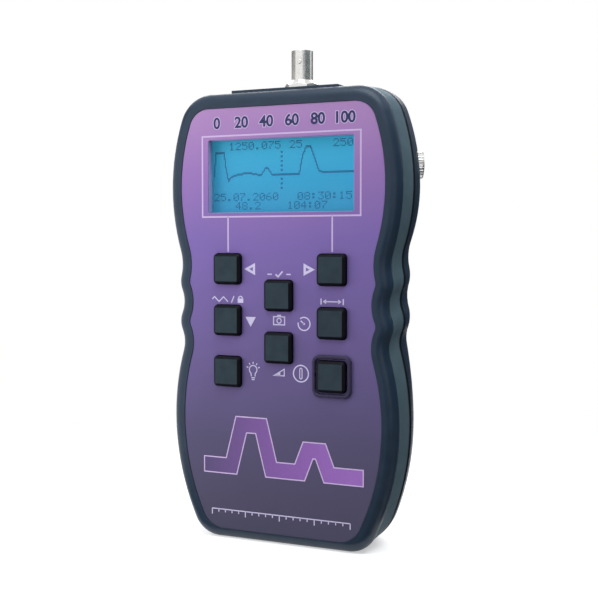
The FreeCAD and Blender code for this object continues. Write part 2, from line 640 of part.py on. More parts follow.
outline(sketch, "overlay_inset", "overlay_bottom", OVERLAY_TOP, corner="panel_corner_radius")
pocket(front, sketch, "overlay_recess")
sketch = new_sketch(front, "openings", offset=FRONT)
rounded(sketch, "window_width", "window_height", "window_corner", "0", WINDOW_Z)
for label, x, z in KEYS:
    rounded(sketch, "key_opening", "key_opening", "key_opening_corner", x, z)
pocket(front, sketch, "overlay_recess + 2 * front_wall")
parts.append(front)

# Soft side grips: one lofted ring each, cut down to one side.
for label, side in (("left_grip", "-1"), ("right_grip", "1")):
    grip = new_body(label)
    begin = new_sketch(grip, "crease", offset=CREASE)
    outline(begin, "crease_inset", top="case_height - rim_step", corner="rim_corner_radius")
    end = new_sketch(grip, "joint", offset=FRONT_EDGE)
    outline(end, rise="grip_rise")
    loft(grip, "PartDesign::AdditiveLoft", [begin, end], True)
    sketch = new_sketch(grip, "inside", offset=FRONT)
    outline(sketch, "grip_wall", "grip_wall", "case_height - grip_wall")
    pocket(grip, sketch, "case_depth")
    sketch = new_sketch(grip, "other_side", offset=FRONT)
    middle = side + " * (grip_end - case_height / 2)"
    rectangle(sketch, "case_height", "2 * case_height", middle, "case_height / 2")
    pocket(grip, sketch, "case_depth")
    parts.append(grip)

# Rear shell: a smooth loft along a quarter ellipse, with the crests rising and fading to the back.
REAR_STEPS = 5


def rear_sections(body, name, wall, ends):
    sections = []
    for number in range(REAR_STEPS + 1):
        share = "%d / %d" % (number, REAR_STEPS)
        turn = "rear_round_angle * 1 deg * %s" % share
        reach = "sin(%s) / sin(rear_round_angle * 1 deg)" % turn
        forward = "(%s) - (%s + case_depth / 2 - (%s)) * %s" % (REAR_EDGE, REAR_EDGE, wall, reach)
        sketch = new_sketch(body, "%s_%d" % (name, number), offset=forward)
        inset = "%s + rear_round_width * (1 - cos(%s))" % (wall, turn)
        rise = "grip_rise + rear_rise * %s" % share
        hollow = "grip_hollow - grip_fade * %s" % share
        tuck = "lower_tuck * %s" % share
        outline(sketch, inset, ends, "case_height - (%s)" % ends, hollow, rise, tuck)
        sections.append(sketch)
    return sections


rear = new_body("rear_case")
loft(rear, "PartDesign::AdditiveLoft", rear_sections(rear, "outer", "0", "-end_trim"), False)
for name, edge, sign in (("low_edge", "0", "1"), ("top_edge", "case_height", "-1")):
    sketch = new_sketch(rear, name, "YZ_Plane")
    back = size("case_depth / 2")
    bend = size("end_round")
    lift = size(sign) * bend
    low = size(edge)
    middle = FreeCAD.Vector(back - bend, low + lift, 0)
    corner = FreeCAD.Vector(back + bend, low - lift, 0)
    flat = FreeCAD.Vector(back - bend, low, 0)
    rise = FreeCAD.Vector(back, low + lift, 0)
    ring = Part.Circle(middle, FreeCAD.Vector(0, 0, 1), bend)
    first = -math.pi / 2 if lift > 0 else 0
    quarter = Part.ArcOfCircle(ring, first, first + math.pi / 2)
    ahead = FreeCAD.Vector(-back, low, 0)
    outer = [FreeCAD.Vector(corner.x, rise.y, 0), corner, FreeCAD.Vector(ahead.x, corner.y, 0)]
    spots = [rise] + outer + [ahead, flat]
    pieces = [quarter] + [Part.LineSegment(begin, end) for begin, end in zip(spots, spots[1:])]
    for piece in pieces:
        number = sketch.addGeometry(piece)
        sketch.addConstraint(Sketcher.Constraint("Block", number))
    pocket(rear, sketch, "case_height", both=True)
loft(rear, "PartDesign::SubtractiveLoft", rear_sections(rear, "inner", "rear_wall", "rear_wall"), False)
sketch = new_sketch(rear, "ledge", offset=REAR_EDGE)
outline(sketch, "rear_wall / 2", "rear_wall / 2", "case_height - rear_wall / 2", rise="grip_rise")
outline(sketch, INSIDE, INSIDE, "case_height - (%s)" % INSIDE)
pad(rear, sketch, "ledge_depth", backwards=True)
sketch = new_sketch(rear, "posts", offset="joint_forward")
for x, z in CASE_SCREWS:
    circle(sketch, "screw_boss_radius", x, z)
pad(rear, sketch, "joint_forward + case_depth / 2 - rear_wall / 2", backwards=True)
sketch = new_sketch(rear, "sunk_holes", offset=BACK)
for x, z in CASE_SCREWS:
    circle(sketch, "screw_sink_radius", x, z)
pocket(rear, sketch, "screw_sink_depth", along_normal=True)
sketch = new_sketch(rear, "screw_holes", offset=BACK)
for x, z in CASE_SCREWS:
    circle(sketch, "screw_clearance", x, z)
pocket(rear, sketch, "case_depth", along_normal=True)
sketch = new_sketch(rear, "door_opening", offset=BACK)
rectangle(sketch, OPENING_WIDTH, OPENING_HEIGHT, "0", OPENING_Z)
pocket(rear, sketch, "2 * rear_wall", along_normal=True)
sketch = new_sketch(rear, "hinge", "YZ_Plane")
circle(sketch, "door_socket_radius", "-1 * (%s)" % DOOR_MIDDLE, DOOR_AXIS_Z)
pocket(rear, sketch, DOOR_WIDTH + " + 2 * (door_pin_length + door_pin_gap)", both=True)
sketch = new_sketch(rear, "test_hole", "XY_Plane", "case_height")
circle(sketch, "test_hole_radius", "0", "test_socket_y")
pocket(rear, sketch, "rear_wall + contact_tail_depth")
sketch = new_sketch(rear, "test_room", "XY_Plane", "case_height - rear_wall")
circle(sketch, "test_flange_radius + socket_room", "0", "test_socket_y")
pocket(rear, sketch, "contact_tail_depth")


def charge_circle(name, radius, depth="0"):
    """A circle square to the tilted axis of the charge socket, some way behind the seat."""
    sketch = new_sketch(rear, name, "YZ_Plane", "%s - %s * cos(charge_tilt * 1 deg)" % (CHARGE_X, depth))
    swivel(sketch, "AttachmentOffset", (0, 1, 0), "charge_tilt")
    shift = linked("charge_y - %s * sin(charge_tilt * 1 deg)" % depth)
    sketch.setExpression("AttachmentOffset.Base.x", shift)
    sketch.setExpression("AttachmentOffset.Base.y", linked(CHARGE_Z))
    circle(sketch, radius)
    return sketch


sketch = charge_circle("charge_boss", "charge_boss_radius", "charge_boss_drop")
pad(rear, sketch, "charge_wall - charge_boss_drop", backwards=True)
pocket(rear, charge_circle("charge_seat", "charge_seat_radius"), "case_depth", along_normal=True)
pocket(rear, charge_circle("charge_hole", "charge_hole_radius"), "charge_length")
sketch = charge_circle("charge_room", "charge_flange_radius + socket_room", "charge_wall")
pocket(rear, sketch, "charge_length")
parts.append(rear)

# Seal between the shells.
gasket = new_body("case_gasket")
sketch = new_sketch(gasket, "ring", offset=REAR_EDGE)
outline(sketch, "gasket_inset", "gasket_inset", "case_height - gasket_inset")
inner = "gasket_inset + gasket_width"
outline(sketch, inner, inner, "case_height - (%s)" % inner)
pad(gasket, sketch, "joint_gap")
parts.append(gasket)

# Face panel with the window and key openings.
overlay = new_body("front_overlay")
sketch = new_sketch(overlay, "sheet", offset=FLOOR)
low = "overlay_bottom + overlay_gap"
high = OVERLAY_TOP + " - overlay_gap"
outline(sketch, "overlay_inset + overlay_gap", low, high, corner="panel_corner_radius")
pad(overlay, sketch, "overlay_thickness")
sketch = new_sketch(overlay, "openings", offset=FRONT)
rounded(sketch, "window_width", "window_height", "window_corner", "0", WINDOW_Z)
for label, x, z in KEYS:
    rounded(sketch, "key_opening", "key_opening", "key_opening_corner", x, z)
pocket(overlay, sketch, "2 * overlay_recess")
parts.append(overlay)

# Raised frame round the power key.
guard = new_body("power_key_guard")
sketch = new_sketch(guard, "frame")
rounded(sketch, "guard_outer", "guard_outer", "guard_corner")
rounded(sketch, "guard_inner", "guard_inner", "guard_corner - (guard_outer - guard_inner) / 2")
feature = pad(guard, sketch, "guard_height")
face = flat_face(feature, "Y", "-guard_height")
dress(guard, "PartDesign::Fillet", feature, face, "Radius", "guard_round")
place(guard, KEYS[-1][1], "-1 * (%s + overlay_thickness)" % FLOOR, KEYS[-1][2])
parts.append(guard)

# Display: pane, metal frame, glass, light and board.
pane = new_body("display_window")
sketch = new_sketch(pane, "sheet", offset=PANE_BACK)
rounded(sketch, PANE_WIDTH, PANE_HEIGHT, "window_corner", "0", WINDOW_Z)
pad(pane, sketch, "pane_thickness")
parts.append(pane)

bezel = new_body("lcd_bezel")
sketch = new_sketch(bezel, "block", offset=DISPLAY_BOARD)
rounded(sketch, PANE_WIDTH, PANE_HEIGHT, "window_corner", "0", WINDOW_Z)
pad(bezel, sketch, "bezel_depth")
sketch = new_sketch(bezel, "inside", offset=DISPLAY_BOARD)
rectangle(sketch, PANE_WIDTH + " - 2 * bezel_sheet", PANE_HEIGHT + " - 2 * bezel_sheet", "0", WINDOW_Z)
pocket(bezel, sketch, "bezel_depth - bezel_sheet", along_normal=True)
sketch = new_sketch(bezel, "view", offset=PANE_BACK)
rectangle(sketch, "window_width + 2 * bezel_lap", "window_height + 2 * bezel_lap", "0", WINDOW_Z)
pocket(bezel, sketch, "bezel_depth / 2")
parts.append(bezel)

GLASS_WIDTH = PANE_WIDTH + " - 4 * bezel_sheet"
GLASS_HEIGHT = PANE_HEIGHT + " - 4 * bezel_sheet"
glass = new_body("lcd_glass")
sketch = new_sketch(glass, "sheet", offset=PANE_BACK + " - bezel_sheet - cell_glass_depth")
rectangle(sketch, GLASS_WIDTH, GLASS_HEIGHT, "0", WINDOW_Z)
pad(glass, sketch, "cell_glass_depth")
parts.append(glass)

light = new_body("lcd_backlight")
sketch = new_sketch(light, "sheet", offset=DISPLAY_BOARD)
rectangle(sketch, GLASS_WIDTH, GLASS_HEIGHT, "0", WINDOW_Z)
pad(light, sketch, "bezel_depth - bezel_sheet - cell_glass_depth")
parts.append(light)

display = new_body("lcd_board")
sketch = new_sketch(display, "sheet", offset=DISPLAY_BOARD + " - board_thickness")
rounded(sketch, DISPLAY_WIDTH, DISPLAY_HEIGHT, "window_corner", "0", WINDOW_Z)
for x, z in DISPLAY_SCREWS:
    circle(sketch, "display_screw_radius + board_hole_gap", x, z)
pad(display, sketch, "board_thickness")
parts.append(display)

header = new_body("lcd_header")
sketch = new_sketch(header, "strip", offset=BOARD_FORWARD)
rectangle(sketch, "header_length", "header_width", "0", HEADER_Z)
pad(header, sketch, "header_height")
parts.append(header)

# Shares of the head's height and radius.
HEAD_SIDE = "0.6"
HEAD_TOP = "0.75"
CROSS_REACH = "0.6"
CROSS_WIDTH = "0.16"
CROSS_DEPTH = "0.6"


def screw(label, radius, length, head_radius, head_height):
    """A pan head screw along Y, seated at the origin with its head behind."""
    body = new_body(label)
    sketch = new_sketch(body, "profile", "XY_Plane")
    corners = [
        ("0", "-(%s)" % length),
        (radius, "-(%s)" % length),
        (radius, "0"),
        (head_radius, "0"),
        (head_radius, "%s * %s" % (HEAD_SIDE, head_height)),
        ("%s * %s" % (HEAD_TOP, head_radius), head_height),
        ("0", head_height),
    ]
    polygon(sketch, corners)
    turned(body, sketch, "V_Axis")
    sketch = new_sketch(body, "cross", offset="-1 * %s" % head_height)
    wide = "%s * %s" % (CROSS_REACH, head_radius)
    thin = "%s * %s" % (CROSS_WIDTH, head_radius)
    corners = []
    for x_sign, y_sign in (("", ""), ("-", ""), ("-", "-"), ("", "-")):
        arm = [(x_sign + x, y_sign + y) for x, y in ((thin, wide), (thin, thin), (wide, thin))]
        corners += arm[::-1] if x_sign == y_sign else arm
    polygon(sketch, corners)
    pocket(body, sketch, "%s * %s" % (CROSS_DEPTH, head_height), along_normal=True)
    return body


SHANK = "board_thickness + screw_bite"
HEAD = "2 * display_screw_radius"
one = screw("lcd_screw_one", "display_screw_radius", SHANK, HEAD, "display_screw_head")
seat = "-1 * (%s - board_thickness)" % DISPLAY_BOARD
parts.append(group("lcd_screws", one, [(x, seat, z) for x, z in DISPLAY_SCREWS]))

# Main board with its switches and chips.
board = new_body("main_board")
sketch = new_sketch(board, "sheet", offset=BOARD_BACK)
board_middle = "(board_bottom + %s) / 2" % BOARD_TOP
rounded(sketch, "board_width", BOARD_TOP + " - board_bottom", "board_boss_radius", "0", board_middle)
for x, z in BOARD_SCREWS:
    circle(sketch, "board_screw_radius + board_hole_gap", x, z)
pad(board, sketch, "board_thickness")
parts.append(board)

one = screw("board_screw_one", "board_screw_radius", SHANK, "2 * board_screw_radius", "board_screw_head")
seat = "-1 * (%s)" % BOARD_BACK
parts.append(group("board_screws", one, [(x, seat, z) for x, z in BOARD_SCREWS]))

chip = new_body("chip_one")
sketch = new_sketch(chip, "block")
rounded(sketch, "chip_width", "chip_width", "chip_height / 3")
pad(chip, sketch, "chip_height", backwards=True)
CHIPS = (
    ("-chip_width", BOARD_TOP + " - 2 * chip_width"),
    ("chip_width", BOARD_TOP + " - 4 * chip_width"),
    ("-chip_width", BOARD_TOP + " - 6 * chip_width"),
)
parts.append(group("board_chips", chip, [(x, seat, z) for x, z in CHIPS]))

switch = new_body("switch_one")
sketch = new_sketch(switch, "block")
rounded(sketch, "switch_width", "switch_width", "switch_height / 5")
pad(switch, sketch, "switch_height")
sketch = new_sketch(switch, "well", offset="switch_height")
circle(sketch, "switch_well_radius")
pocket(switch, sketch, "switch_well_depth")
seat = "-1 * (%s)" % BOARD_FORWARD
parts.append(group("tact_switches", switch, [(x, seat, z) for label, x, z in KEYS]))

KEY_FRONT = "case_depth / 2 + key_proud"
KEY_BACK = INNER + " - key_tail"
STEM_TOP = KEY_BACK + " + plunger_engage"
FOOT = BOARD_FORWARD + " + switch_height - switch_well_depth + plunger_lift"
for label, x, z in KEYS:
    cap = new_body(label)
    sketch = new_sketch(cap, "block", offset=KEY_BACK)
    rounded(sketch, "key_width", "key_width", "key_corner")
    feature = pad(cap, sketch, "%s - (%s)" % (KEY_FRONT, KEY_BACK))
    top_face = flat_face(feature, "Y", "-1 * (%s)" % KEY_FRONT)
    dress(cap, "PartDesign::Chamfer", feature, top_face, "Size", "key_bevel")
    sketch = new_sketch(cap, "hollow", offset=KEY_BACK)
    rectangle(sketch, "key_width - 2 * key_skin", "key_width - 2 * key_skin")
    rectangle(sketch, "key_post", "key_post")
    pocket(cap, sketch, "%s - (%s)" % (FRONT, KEY_BACK), along_normal=True)
    sketch = new_sketch(cap, "socket", offset=KEY_BACK)
    rectangle(sketch, "plunger_stem", "plunger_stem")
    pocket(cap, sketch, "plunger_engage", along_normal=True)
    place(cap, x, "0", z)
    parts.append(cap)
    plunger = new_body(label.replace("key", "plunger"))
    sketch = new_sketch(plunger, "foot", offset=FOOT)
    circle(sketch, "plunger_radius")
    pad(plunger, sketch, "plunger_foot")
    sketch = new_sketch(plunger, "stem", offset=FOOT)
    rectangle(sketch, "plunger_stem", "plunger_stem")
    pad(plunger, sketch, STEM_TOP + " - (%s)" % FOOT)
    place(plunger, x, "0", z)
    parts.append(plunger)

# Coaxial test socket on the top end, turned about its own axis.
CASE_TOP_INNER = "case_height - rear_wall"
NUT_TOP = "case_height + washer_thickness + nut_height"
LUG_TOP = BARREL_TOP + " - test_mating_length"
coax = new_body("bnc_body")
sketch = new_sketch(coax, "profile")
corners = [
    ("test_seat_radius", CASE_TOP_INNER + " - test_flange_depth"),
    ("test_flange_radius", CASE_TOP_INNER + " - test_flange_depth"),
    ("test_flange_radius", CASE_TOP_INNER),
    ("test_thread_radius", CASE_TOP_INNER),
    ("test_thread_radius", NUT_TOP),
    ("test_barrel_radius", NUT_TOP),
    ("test_barrel_radius", BARREL_TOP),
    ("test_bore_radius", BARREL_TOP),
    ("test_bore_radius", BARREL_TOP + " - test_bore_depth"),
    ("test_seat_radius", BARREL_TOP + " - test_bore_depth"),
]
polygon(sketch, corners)
turned(coax, sketch, "V_Axis")
for name, backwards in (("front_lug", False), ("rear_lug", True)):
    start = "(test_bore_radius + test_barrel_radius) / 2"
    sketch = new_sketch(coax, name, offset=("-1 * (%s)" if backwards else "%s") % start)
    circle(sketch, "test_lug_radius", "0", LUG_TOP + " - test_lug_radius")
    pad(coax, sketch, "test_lug_reach - " + start, backwards=backwards)
swivel(coax, "Placement", (0, 0, 1), "test_turn")
place(coax, "0", "test_socket_y")
parts.append(coax)

insulator = new_body("bnc_insulator")
sketch = new_sketch(insulator, "profile")
nose_top = BARREL_TOP + " - test_nose_drop"
corners = [
    ("contact_radius", CASE_TOP_INNER + " - test_tail_depth"),
    ("test_seat_radius", CASE_TOP_INNER + " - test_tail_depth"),
    ("test_seat_radius", BARREL_TOP + " - test_bore_depth"),
    ("test_nose_radius", BARREL_TOP + " - test_bore_depth"),
    ("test_nose_radius", nose_top),
    ("contact_radius", nose_top),
]
polygon(sketch, corners)
turned(insulator, sketch, "V_Axis")
place(insulator, "0", "test_socket_y")
parts.append(insulator)

contact = new_body("bnc_contact")
sketch = new_sketch(contact, "profile")
corners = [
    ("0", CASE_TOP_INNER + " - contact_tail_depth"),
    ("contact_radius", CASE_TOP_INNER + " - contact_tail_depth"),
    ("contact_radius", nose_top),
    ("contact_bore_radius", nose_top),
    ("contact_bore_radius", nose_top + " - contact_bore_depth"),
    ("0", nose_top + " - contact_bore_depth"),
]
polygon(sketch, corners)
turned(contact, sketch, "V_Axis")
place(contact, "0", "test_socket_y")
parts.append(contact)

washer = new_body("bnc_lock_washer")
sketch = new_sketch(washer, "ring", "XY_Plane", "case_height")
circle(sketch, "washer_radius")
circle(sketch, "test_hole_radius")
pad(washer, sketch, "washer_thickness")
place(washer, "0", "test_socket_y")
parts.append(washer)

# Hexagon nut: the corners are cut by a cone, which leaves an arc on every flat.
nut = new_body("bnc_nut")
sketch = new_sketch(nut, "hexagon", "XY_Plane", "case_height + washer_thickness")
corners = []
for turn in range(6):
    angle = "(%d * 60 + test_turn) * 1 deg" % turn
    corners.append(["nut_across_flats / sqrt(3) * %s(%s)" % (part, angle) for part in ("cos", "sin")])
polygon(sketch, corners)
circle(sketch, "test_thread_radius")
pad(nut, sketch, "nut_height")
sketch = new_sketch(nut, "cone")
wide = "nut_face_radius + nut_height"
polygon(sketch, [
    ("nut_face_radius", NUT_TOP),
    (wide, NUT_TOP + " - nut_height * tan(nut_slope * 1 deg)"),
    (wide, NUT_TOP),
])
groove = nut.newObject("PartDesign::Groove", "bnc_nut_cone_cut")
groove.Profile = sketch
groove.ReferenceAxis = (sketch, ["V_Axis"])
groove.Angle = 360
nut.Tip = groove
place(nut, "0", "test_socket_y")
parts.append(nut)

# Lead from the test socket to the back of the main board, swept along a bent path.
lead = new_body("bnc_lead")
lead_top = CASE_TOP_INNER + " - contact_tail_depth"
profile = new_sketch(lead, "round", "XY_Plane", lead_top)
circle(profile, "lead_radius", "0", "test_socket_y")
path = new_sketch(lead, "path", "YZ_Plane")
start = FreeCAD.Vector(size("test_socket_y"), size(lead_top), 0)
middle = FreeCAD.Vector(size("test_socket_y - lead_bend"), size(BOARD_TOP + " - lead_drop + lead_bend"), 0)
ring = Part.Circle(middle, FreeCAD.Vector(0, 0, 1), size("lead_bend"))
bottom = FreeCAD.Vector(middle.x, middle.y - size("lead_bend"), 0)
finish = FreeCAD.Vector(size("-1 * (%s)" % BOARD_BACK), bottom.y, 0)
pieces = (
    Part.LineSegment(start, FreeCAD.Vector(start.x, middle.y, 0)),
    Part.ArcOfCircle(ring, -math.pi / 2, 0),
    Part.LineSegment(bottom, finish),
)
for piece in pieces:
    number = path.addGeometry(piece)
    path.addConstraint(Sketcher.Constraint("Block", number))
sweep = lead.newObject("PartDesign::AdditivePipe", "bnc_lead_sweep")
sweep.Profile = profile
sweep.Spine = (path, ["Edge1", "Edge2", "Edge3"])
lead.Tip = sweep
parts.append(lead)


def along_x(label, corners):
    """A piece turned on the axis of the charge socket; x is measured from the seat outwards."""
    body = new_body(label)
    sketch = new_sketch(body, "profile", "XY_Plane")
    polygon(sketch, corners)
    turned(body, sketch, "H_Axis")
    swivel(body, "Placement", (0, 0, 1), "charge_tilt")
    place(body, CHARGE_X, "charge_y", CHARGE_Z)
    parts.append(body)
    return body


FLANGE = "-charge_wall - charge_flange_depth"
along_x("charge_socket_barrel", [
    ("-charge_length", "charge_bore_radius"),
    ("-charge_length", "charge_thread_radius"),
    (FLANGE, "charge_thread_radius"),
    (FLANGE, "charge_flange_radius"),
    ("-charge_wall", "charge_flange_radius"),
    ("-charge_wall", "charge_thread_radius"),
    ("charge_front", "charge_thread_radius"),
    ("charge_front", "charge_bore_radius"),
])
along_x("charge_socket_insulator", [
    ("-charge_length", "charge_pin_radius"),
    ("-charge_length", "charge_bore_radius"),
    ("-charge_floor", "charge_bore_radius"),
    ("-charge_floor", "charge_pin_radius"),
])
along_x("charge_socket_pin", [
    ("-charge_length - charge_pin_tail", "0"),
    ("-charge_length - charge_pin_tail", "charge_pin_radius"),
    ("charge_front - charge_pin_drop - charge_pin_taper", "charge_pin_radius"),
    ("charge_front - charge_pin_drop", "charge_pin_radius / 2"),
    ("charge_front - charge_pin_drop", "0"),
])
ring_nut = along_x("charge_socket_nut", [
    ("0", "charge_thread_radius"),
    ("0", "charge_nut_radius"),
    ("charge_nut_height - charge_nut_bevel", "charge_nut_radius"),
    ("charge_nut_height", "charge_nut_radius - charge_nut_bevel"),
    ("charge_nut_height", "charge_thread_radius"),
])
sketch = new_sketch(ring_nut, "groove", "YZ_Plane")
tip = "charge_nut_radius - knurl_depth"
mouth = "charge_nut_radius + knurl_depth"
polygon(sketch, [("0", tip), ("2 * knurl_depth", mouth), ("-2 * knurl_depth", mouth)])
notch = pocket(ring_nut, sketch, "charge_nut_height", along_normal=True)
doc.recompute()
ring = ring_nut.newObject("PartDesign::PolarPattern", "charge_socket_nut_knurl")
ring.Originals = [notch]
x_axis = [item for item in ring_nut.Origin.OriginFeatures if item.Role == "X_Axis"]
ring.Axis = (x_axis[0], [""])
ring.Angle = 360
ring.setExpression("Occurrences", linked("knurl_count"))
ring_nut.Tip = ring

# Battery: tray, four cells head to tail, a plate and a leaf spring for each, and the hinged door.
tray = new_body("battery_tray")
sketch = new_sketch(tray, "box", offset="-1 * " + TRAY_FRONT)
outer = [inside + " + 2 * tray_wall" for inside in (TRAY_WIDTH, TRAY_HEIGHT)]
rounded(sketch, *outer, "tray_wall", "0", "tray_z")
TRAY_DEPTH = "-1 * (%s) - %s" % (REAR_INNER, TRAY_FRONT)
pad(tray, sketch, TRAY_DEPTH, backwards=True)
sketch = new_sketch(tray, "inside", offset=REAR_INNER)
rectangle(sketch, TRAY_WIDTH, TRAY_HEIGHT, "0", "tray_z")
pocket(tray, sketch, TRAY_DEPTH + " - tray_wall", along_normal=True)
parts.append(tray)

CELL_TOP = TRAY_HEIGHT + " / 2 - plate_thickness"
cell = new_body("cell_one")
sketch = new_sketch(cell, "profile")
corners = [
    ("0", CELL_TOP + " - cell_length"),
    ("cell_radius", CELL_TOP + " - cell_length"),
    ("cell_radius", CELL_TOP + " - cell_button_height"),
    ("cell_button_radius", CELL_TOP + " - cell_button_height"),
    ("cell_button_radius", CELL_TOP),
    ("0", CELL_TOP),
]
polygon(sketch, corners)
turned(cell, sketch, "V_Axis")
SPOTS = [("%s * %s" % (share, CELL_PITCH), CELL_Y, "tray_z") for share in ("-1.5", "-0.5", "0.5", "1.5")]
parts.append(group("battery_cells", cell, SPOTS, flipped=(1, 3)))

plate = new_body("plate_one")
sketch = new_sketch(plate, "sheet", "XY_Plane", CELL_TOP)
rectangle(sketch, "plate_width", "plate_width")
pad(plate, sketch, "plate_thickness")
parts.append(group("battery_plates", plate, SPOTS, flipped=(1, 3)))

spring = new_body("spring_one")
sketch = new_sketch(spring, "strip", "YZ_Plane")
low = "-1 * %s / 2" % TRAY_HEIGHT
high = low + " + spring_height"
polygon(sketch, [
    ("-plate_width / 2", low),
    ("plate_width / 2", low),
    ("plate_width / 2", low + " + spring_sheet"),
    ("-plate_width / 2 + 2 * spring_sheet", low + " + spring_sheet"),
    ("plate_width / 2", high + " - spring_sheet"),
    ("plate_width / 2", high),
    ("0", high),
    ("0", high + " - spring_sheet"),
    ("plate_width / 2 - 3 * spring_sheet", high + " - spring_sheet"),
    ("-plate_width / 2", low + " + 2 * spring_sheet"),
])
pad(spring, sketch, "plate_width", both=True)
parts.append(group("battery_springs", spring, SPOTS, flipped=(1, 3)))

# Door plate seen from the side: its lower edge is a full round about the hinge axis.
door = new_body("battery_door")
sketch = new_sketch(door, "side", "YZ_Plane")
half = size("door_thickness / 2")
high = size(DOOR_TOP)
ring = Part.Circle(FreeCAD.Vector(), FreeCAD.Vector(0, 0, 1), half)
spots = [FreeCAD.Vector(x, y, 0) for x, y in ((half, 0), (half, high), (-half, high), (-half, 0))]
pieces = [Part.ArcOfCircle(ring, math.pi, 2 * math.pi)]
pieces += [Part.LineSegment(begin, end) for begin, end in zip(spots, spots[1:])]
for piece in pieces:
    number = sketch.addGeometry(piece)
    sketch.addConstraint(Sketcher.Constraint("Block", number))
pad(door, sketch, DOOR_WIDTH, both=True)
sketch = new_sketch(door, "pins", "YZ_Plane")
circle(sketch, "door_pin_radius")
pad(door, sketch, DOOR_WIDTH + " + 2 * door_pin_length", both=True)
sketch = new_sketch(door, "tongue", offset="door_thickness / 2")
rectangle(sketch, "tongue_width", "tongue_thickness", "0", DOOR_TOP + " - tongue_thickness")
pad(door, sketch, "tongue_reach")
NEARLY_HALF = "0.49"
sketch = new_sketch(door, "slots", offset="-door_thickness / 2")
for share in ("1", "2", "3", "4"):
    height = "%s - door_slot_margin - %s * door_slot_pitch" % (DOOR_TOP, share)
    rounded(sketch, "door_slot_length", "door_slot_width", NEARLY_HALF + " * door_slot_width", "0", height)
pocket(door, sketch, "door_slot_depth", along_normal=True)
place(door, "0", "-1 * (%s)" % DOOR_MIDDLE, DOOR_AXIS_Z)
parts.append(door)

# Case screws from the back into threaded inserts in the front shell.
SCREW_LENGTH = "screw_reach + joint_forward - (%s)" % SEAT_BACK
one = screw("case_screw_one", "screw_radius", SCREW_LENGTH, "screw_head_radius", "screw_head_height")
seat = "-1 * (%s)" % SEAT_BACK
parts.append(group("case_screws", one, [(x, seat, z) for x, z in CASE_SCREWS]))
insert = new_body("insert_one")
sketch = new_sketch(insert, "ring")
circle(sketch, "insert_radius")
circle(sketch, "screw_radius")
pad(insert, sketch, "insert_length")
parts.append(group("case_inserts", insert, [(x, "-joint_forward", z) for x, z in CASE_SCREWS]))

doc.recompute()
for thing in doc.Objects:
    if "Invalid" in thing.State or "Error" in thing.State:
        raise RuntimeError("%s is in error: %s" % (thing.Name, thing.State))
os.makedirs("parts", exist_ok=True)
for part in parts:
    if part.Shape.isNull() or not part.Shape.isValid():
        raise RuntimeError(part.Label + " has no valid shape")
    part.Shape.exportStep("parts/%s.step" % part.Label)
    print(part.Label, len(part.Shape.Solids), round(part.Shape.Volume, 1))
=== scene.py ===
import json
import math

import bmesh
import bpy
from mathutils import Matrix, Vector


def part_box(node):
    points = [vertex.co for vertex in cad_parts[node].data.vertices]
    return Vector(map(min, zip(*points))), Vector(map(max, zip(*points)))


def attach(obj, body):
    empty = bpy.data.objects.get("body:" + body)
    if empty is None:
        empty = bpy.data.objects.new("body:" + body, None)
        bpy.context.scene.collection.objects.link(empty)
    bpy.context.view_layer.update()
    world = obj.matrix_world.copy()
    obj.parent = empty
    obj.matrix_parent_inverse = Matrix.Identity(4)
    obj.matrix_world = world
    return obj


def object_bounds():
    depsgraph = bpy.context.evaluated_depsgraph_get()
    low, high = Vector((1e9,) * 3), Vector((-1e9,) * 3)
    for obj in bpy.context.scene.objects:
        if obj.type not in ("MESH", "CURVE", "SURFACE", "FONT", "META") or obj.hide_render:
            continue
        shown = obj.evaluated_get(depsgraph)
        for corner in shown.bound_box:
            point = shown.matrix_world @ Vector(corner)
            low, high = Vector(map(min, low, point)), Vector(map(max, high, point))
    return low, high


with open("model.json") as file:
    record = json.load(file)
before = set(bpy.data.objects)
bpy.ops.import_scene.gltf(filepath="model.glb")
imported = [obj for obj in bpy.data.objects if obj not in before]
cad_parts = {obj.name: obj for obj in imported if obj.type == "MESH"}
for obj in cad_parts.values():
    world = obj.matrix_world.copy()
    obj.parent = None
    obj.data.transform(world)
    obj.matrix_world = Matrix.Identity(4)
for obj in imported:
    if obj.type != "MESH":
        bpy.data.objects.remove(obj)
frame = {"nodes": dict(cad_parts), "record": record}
cad_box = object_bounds()

# Prints and signs are placed in mm on the face panel: x to the right, z up from the bottom end.
MM = 0.001
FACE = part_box("front_overlay")[0].y
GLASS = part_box("lcd_glass")[0].y
PRINT = 0.04 * MM
UNDER_PRINT = 0.02 * MM
SINK = 0.02 * MM

# Display: a regular grid of dots, each a little smaller than its field.
COLUMNS = 128
ROWS = 64
DOT = 0.55
ROW = 0.49
DOT_FILL = 0.86
DOT_HEIGHT = 0.03 * MM


def tone(red, green, blue):
    """A colour given as it looks on a screen, as the linear values that a shader takes."""
    parts = [part / 255 for part in (red, green, blue)]
    return [part / 12.92 if part <= 0.04045 else ((part + 0.055) / 1.055) ** 2.4 for part in parts] + [1]


# Materials

BLACK = tone(0, 0, 0)
WHITE = tone(255, 255, 255)

# Most of a noise pattern lies between these two values.
NOISE_LOW = 0.3
NOISE_HIGH = 0.7

# Radians that a wave pattern turns in a length of 1 at scale 1.
WAVE_RATE = 20

# Cosine of the angle by which the rounding turns an edge, where the lighter edge colour (rubbed wear and
# painted highlight) is full and where it ends.
WEAR_AND_HIGHLIGHT_FULL = 0.8
WEAR_AND_HIGHLIGHT_NONE = 0.98

BEVEL_SAMPLES = 6
MOULDED_RADIUS = 0.3
TURNED_RADIUS = 0.15
SHEET_RADIUS = 0.12
CAP_RADIUS = 0.25


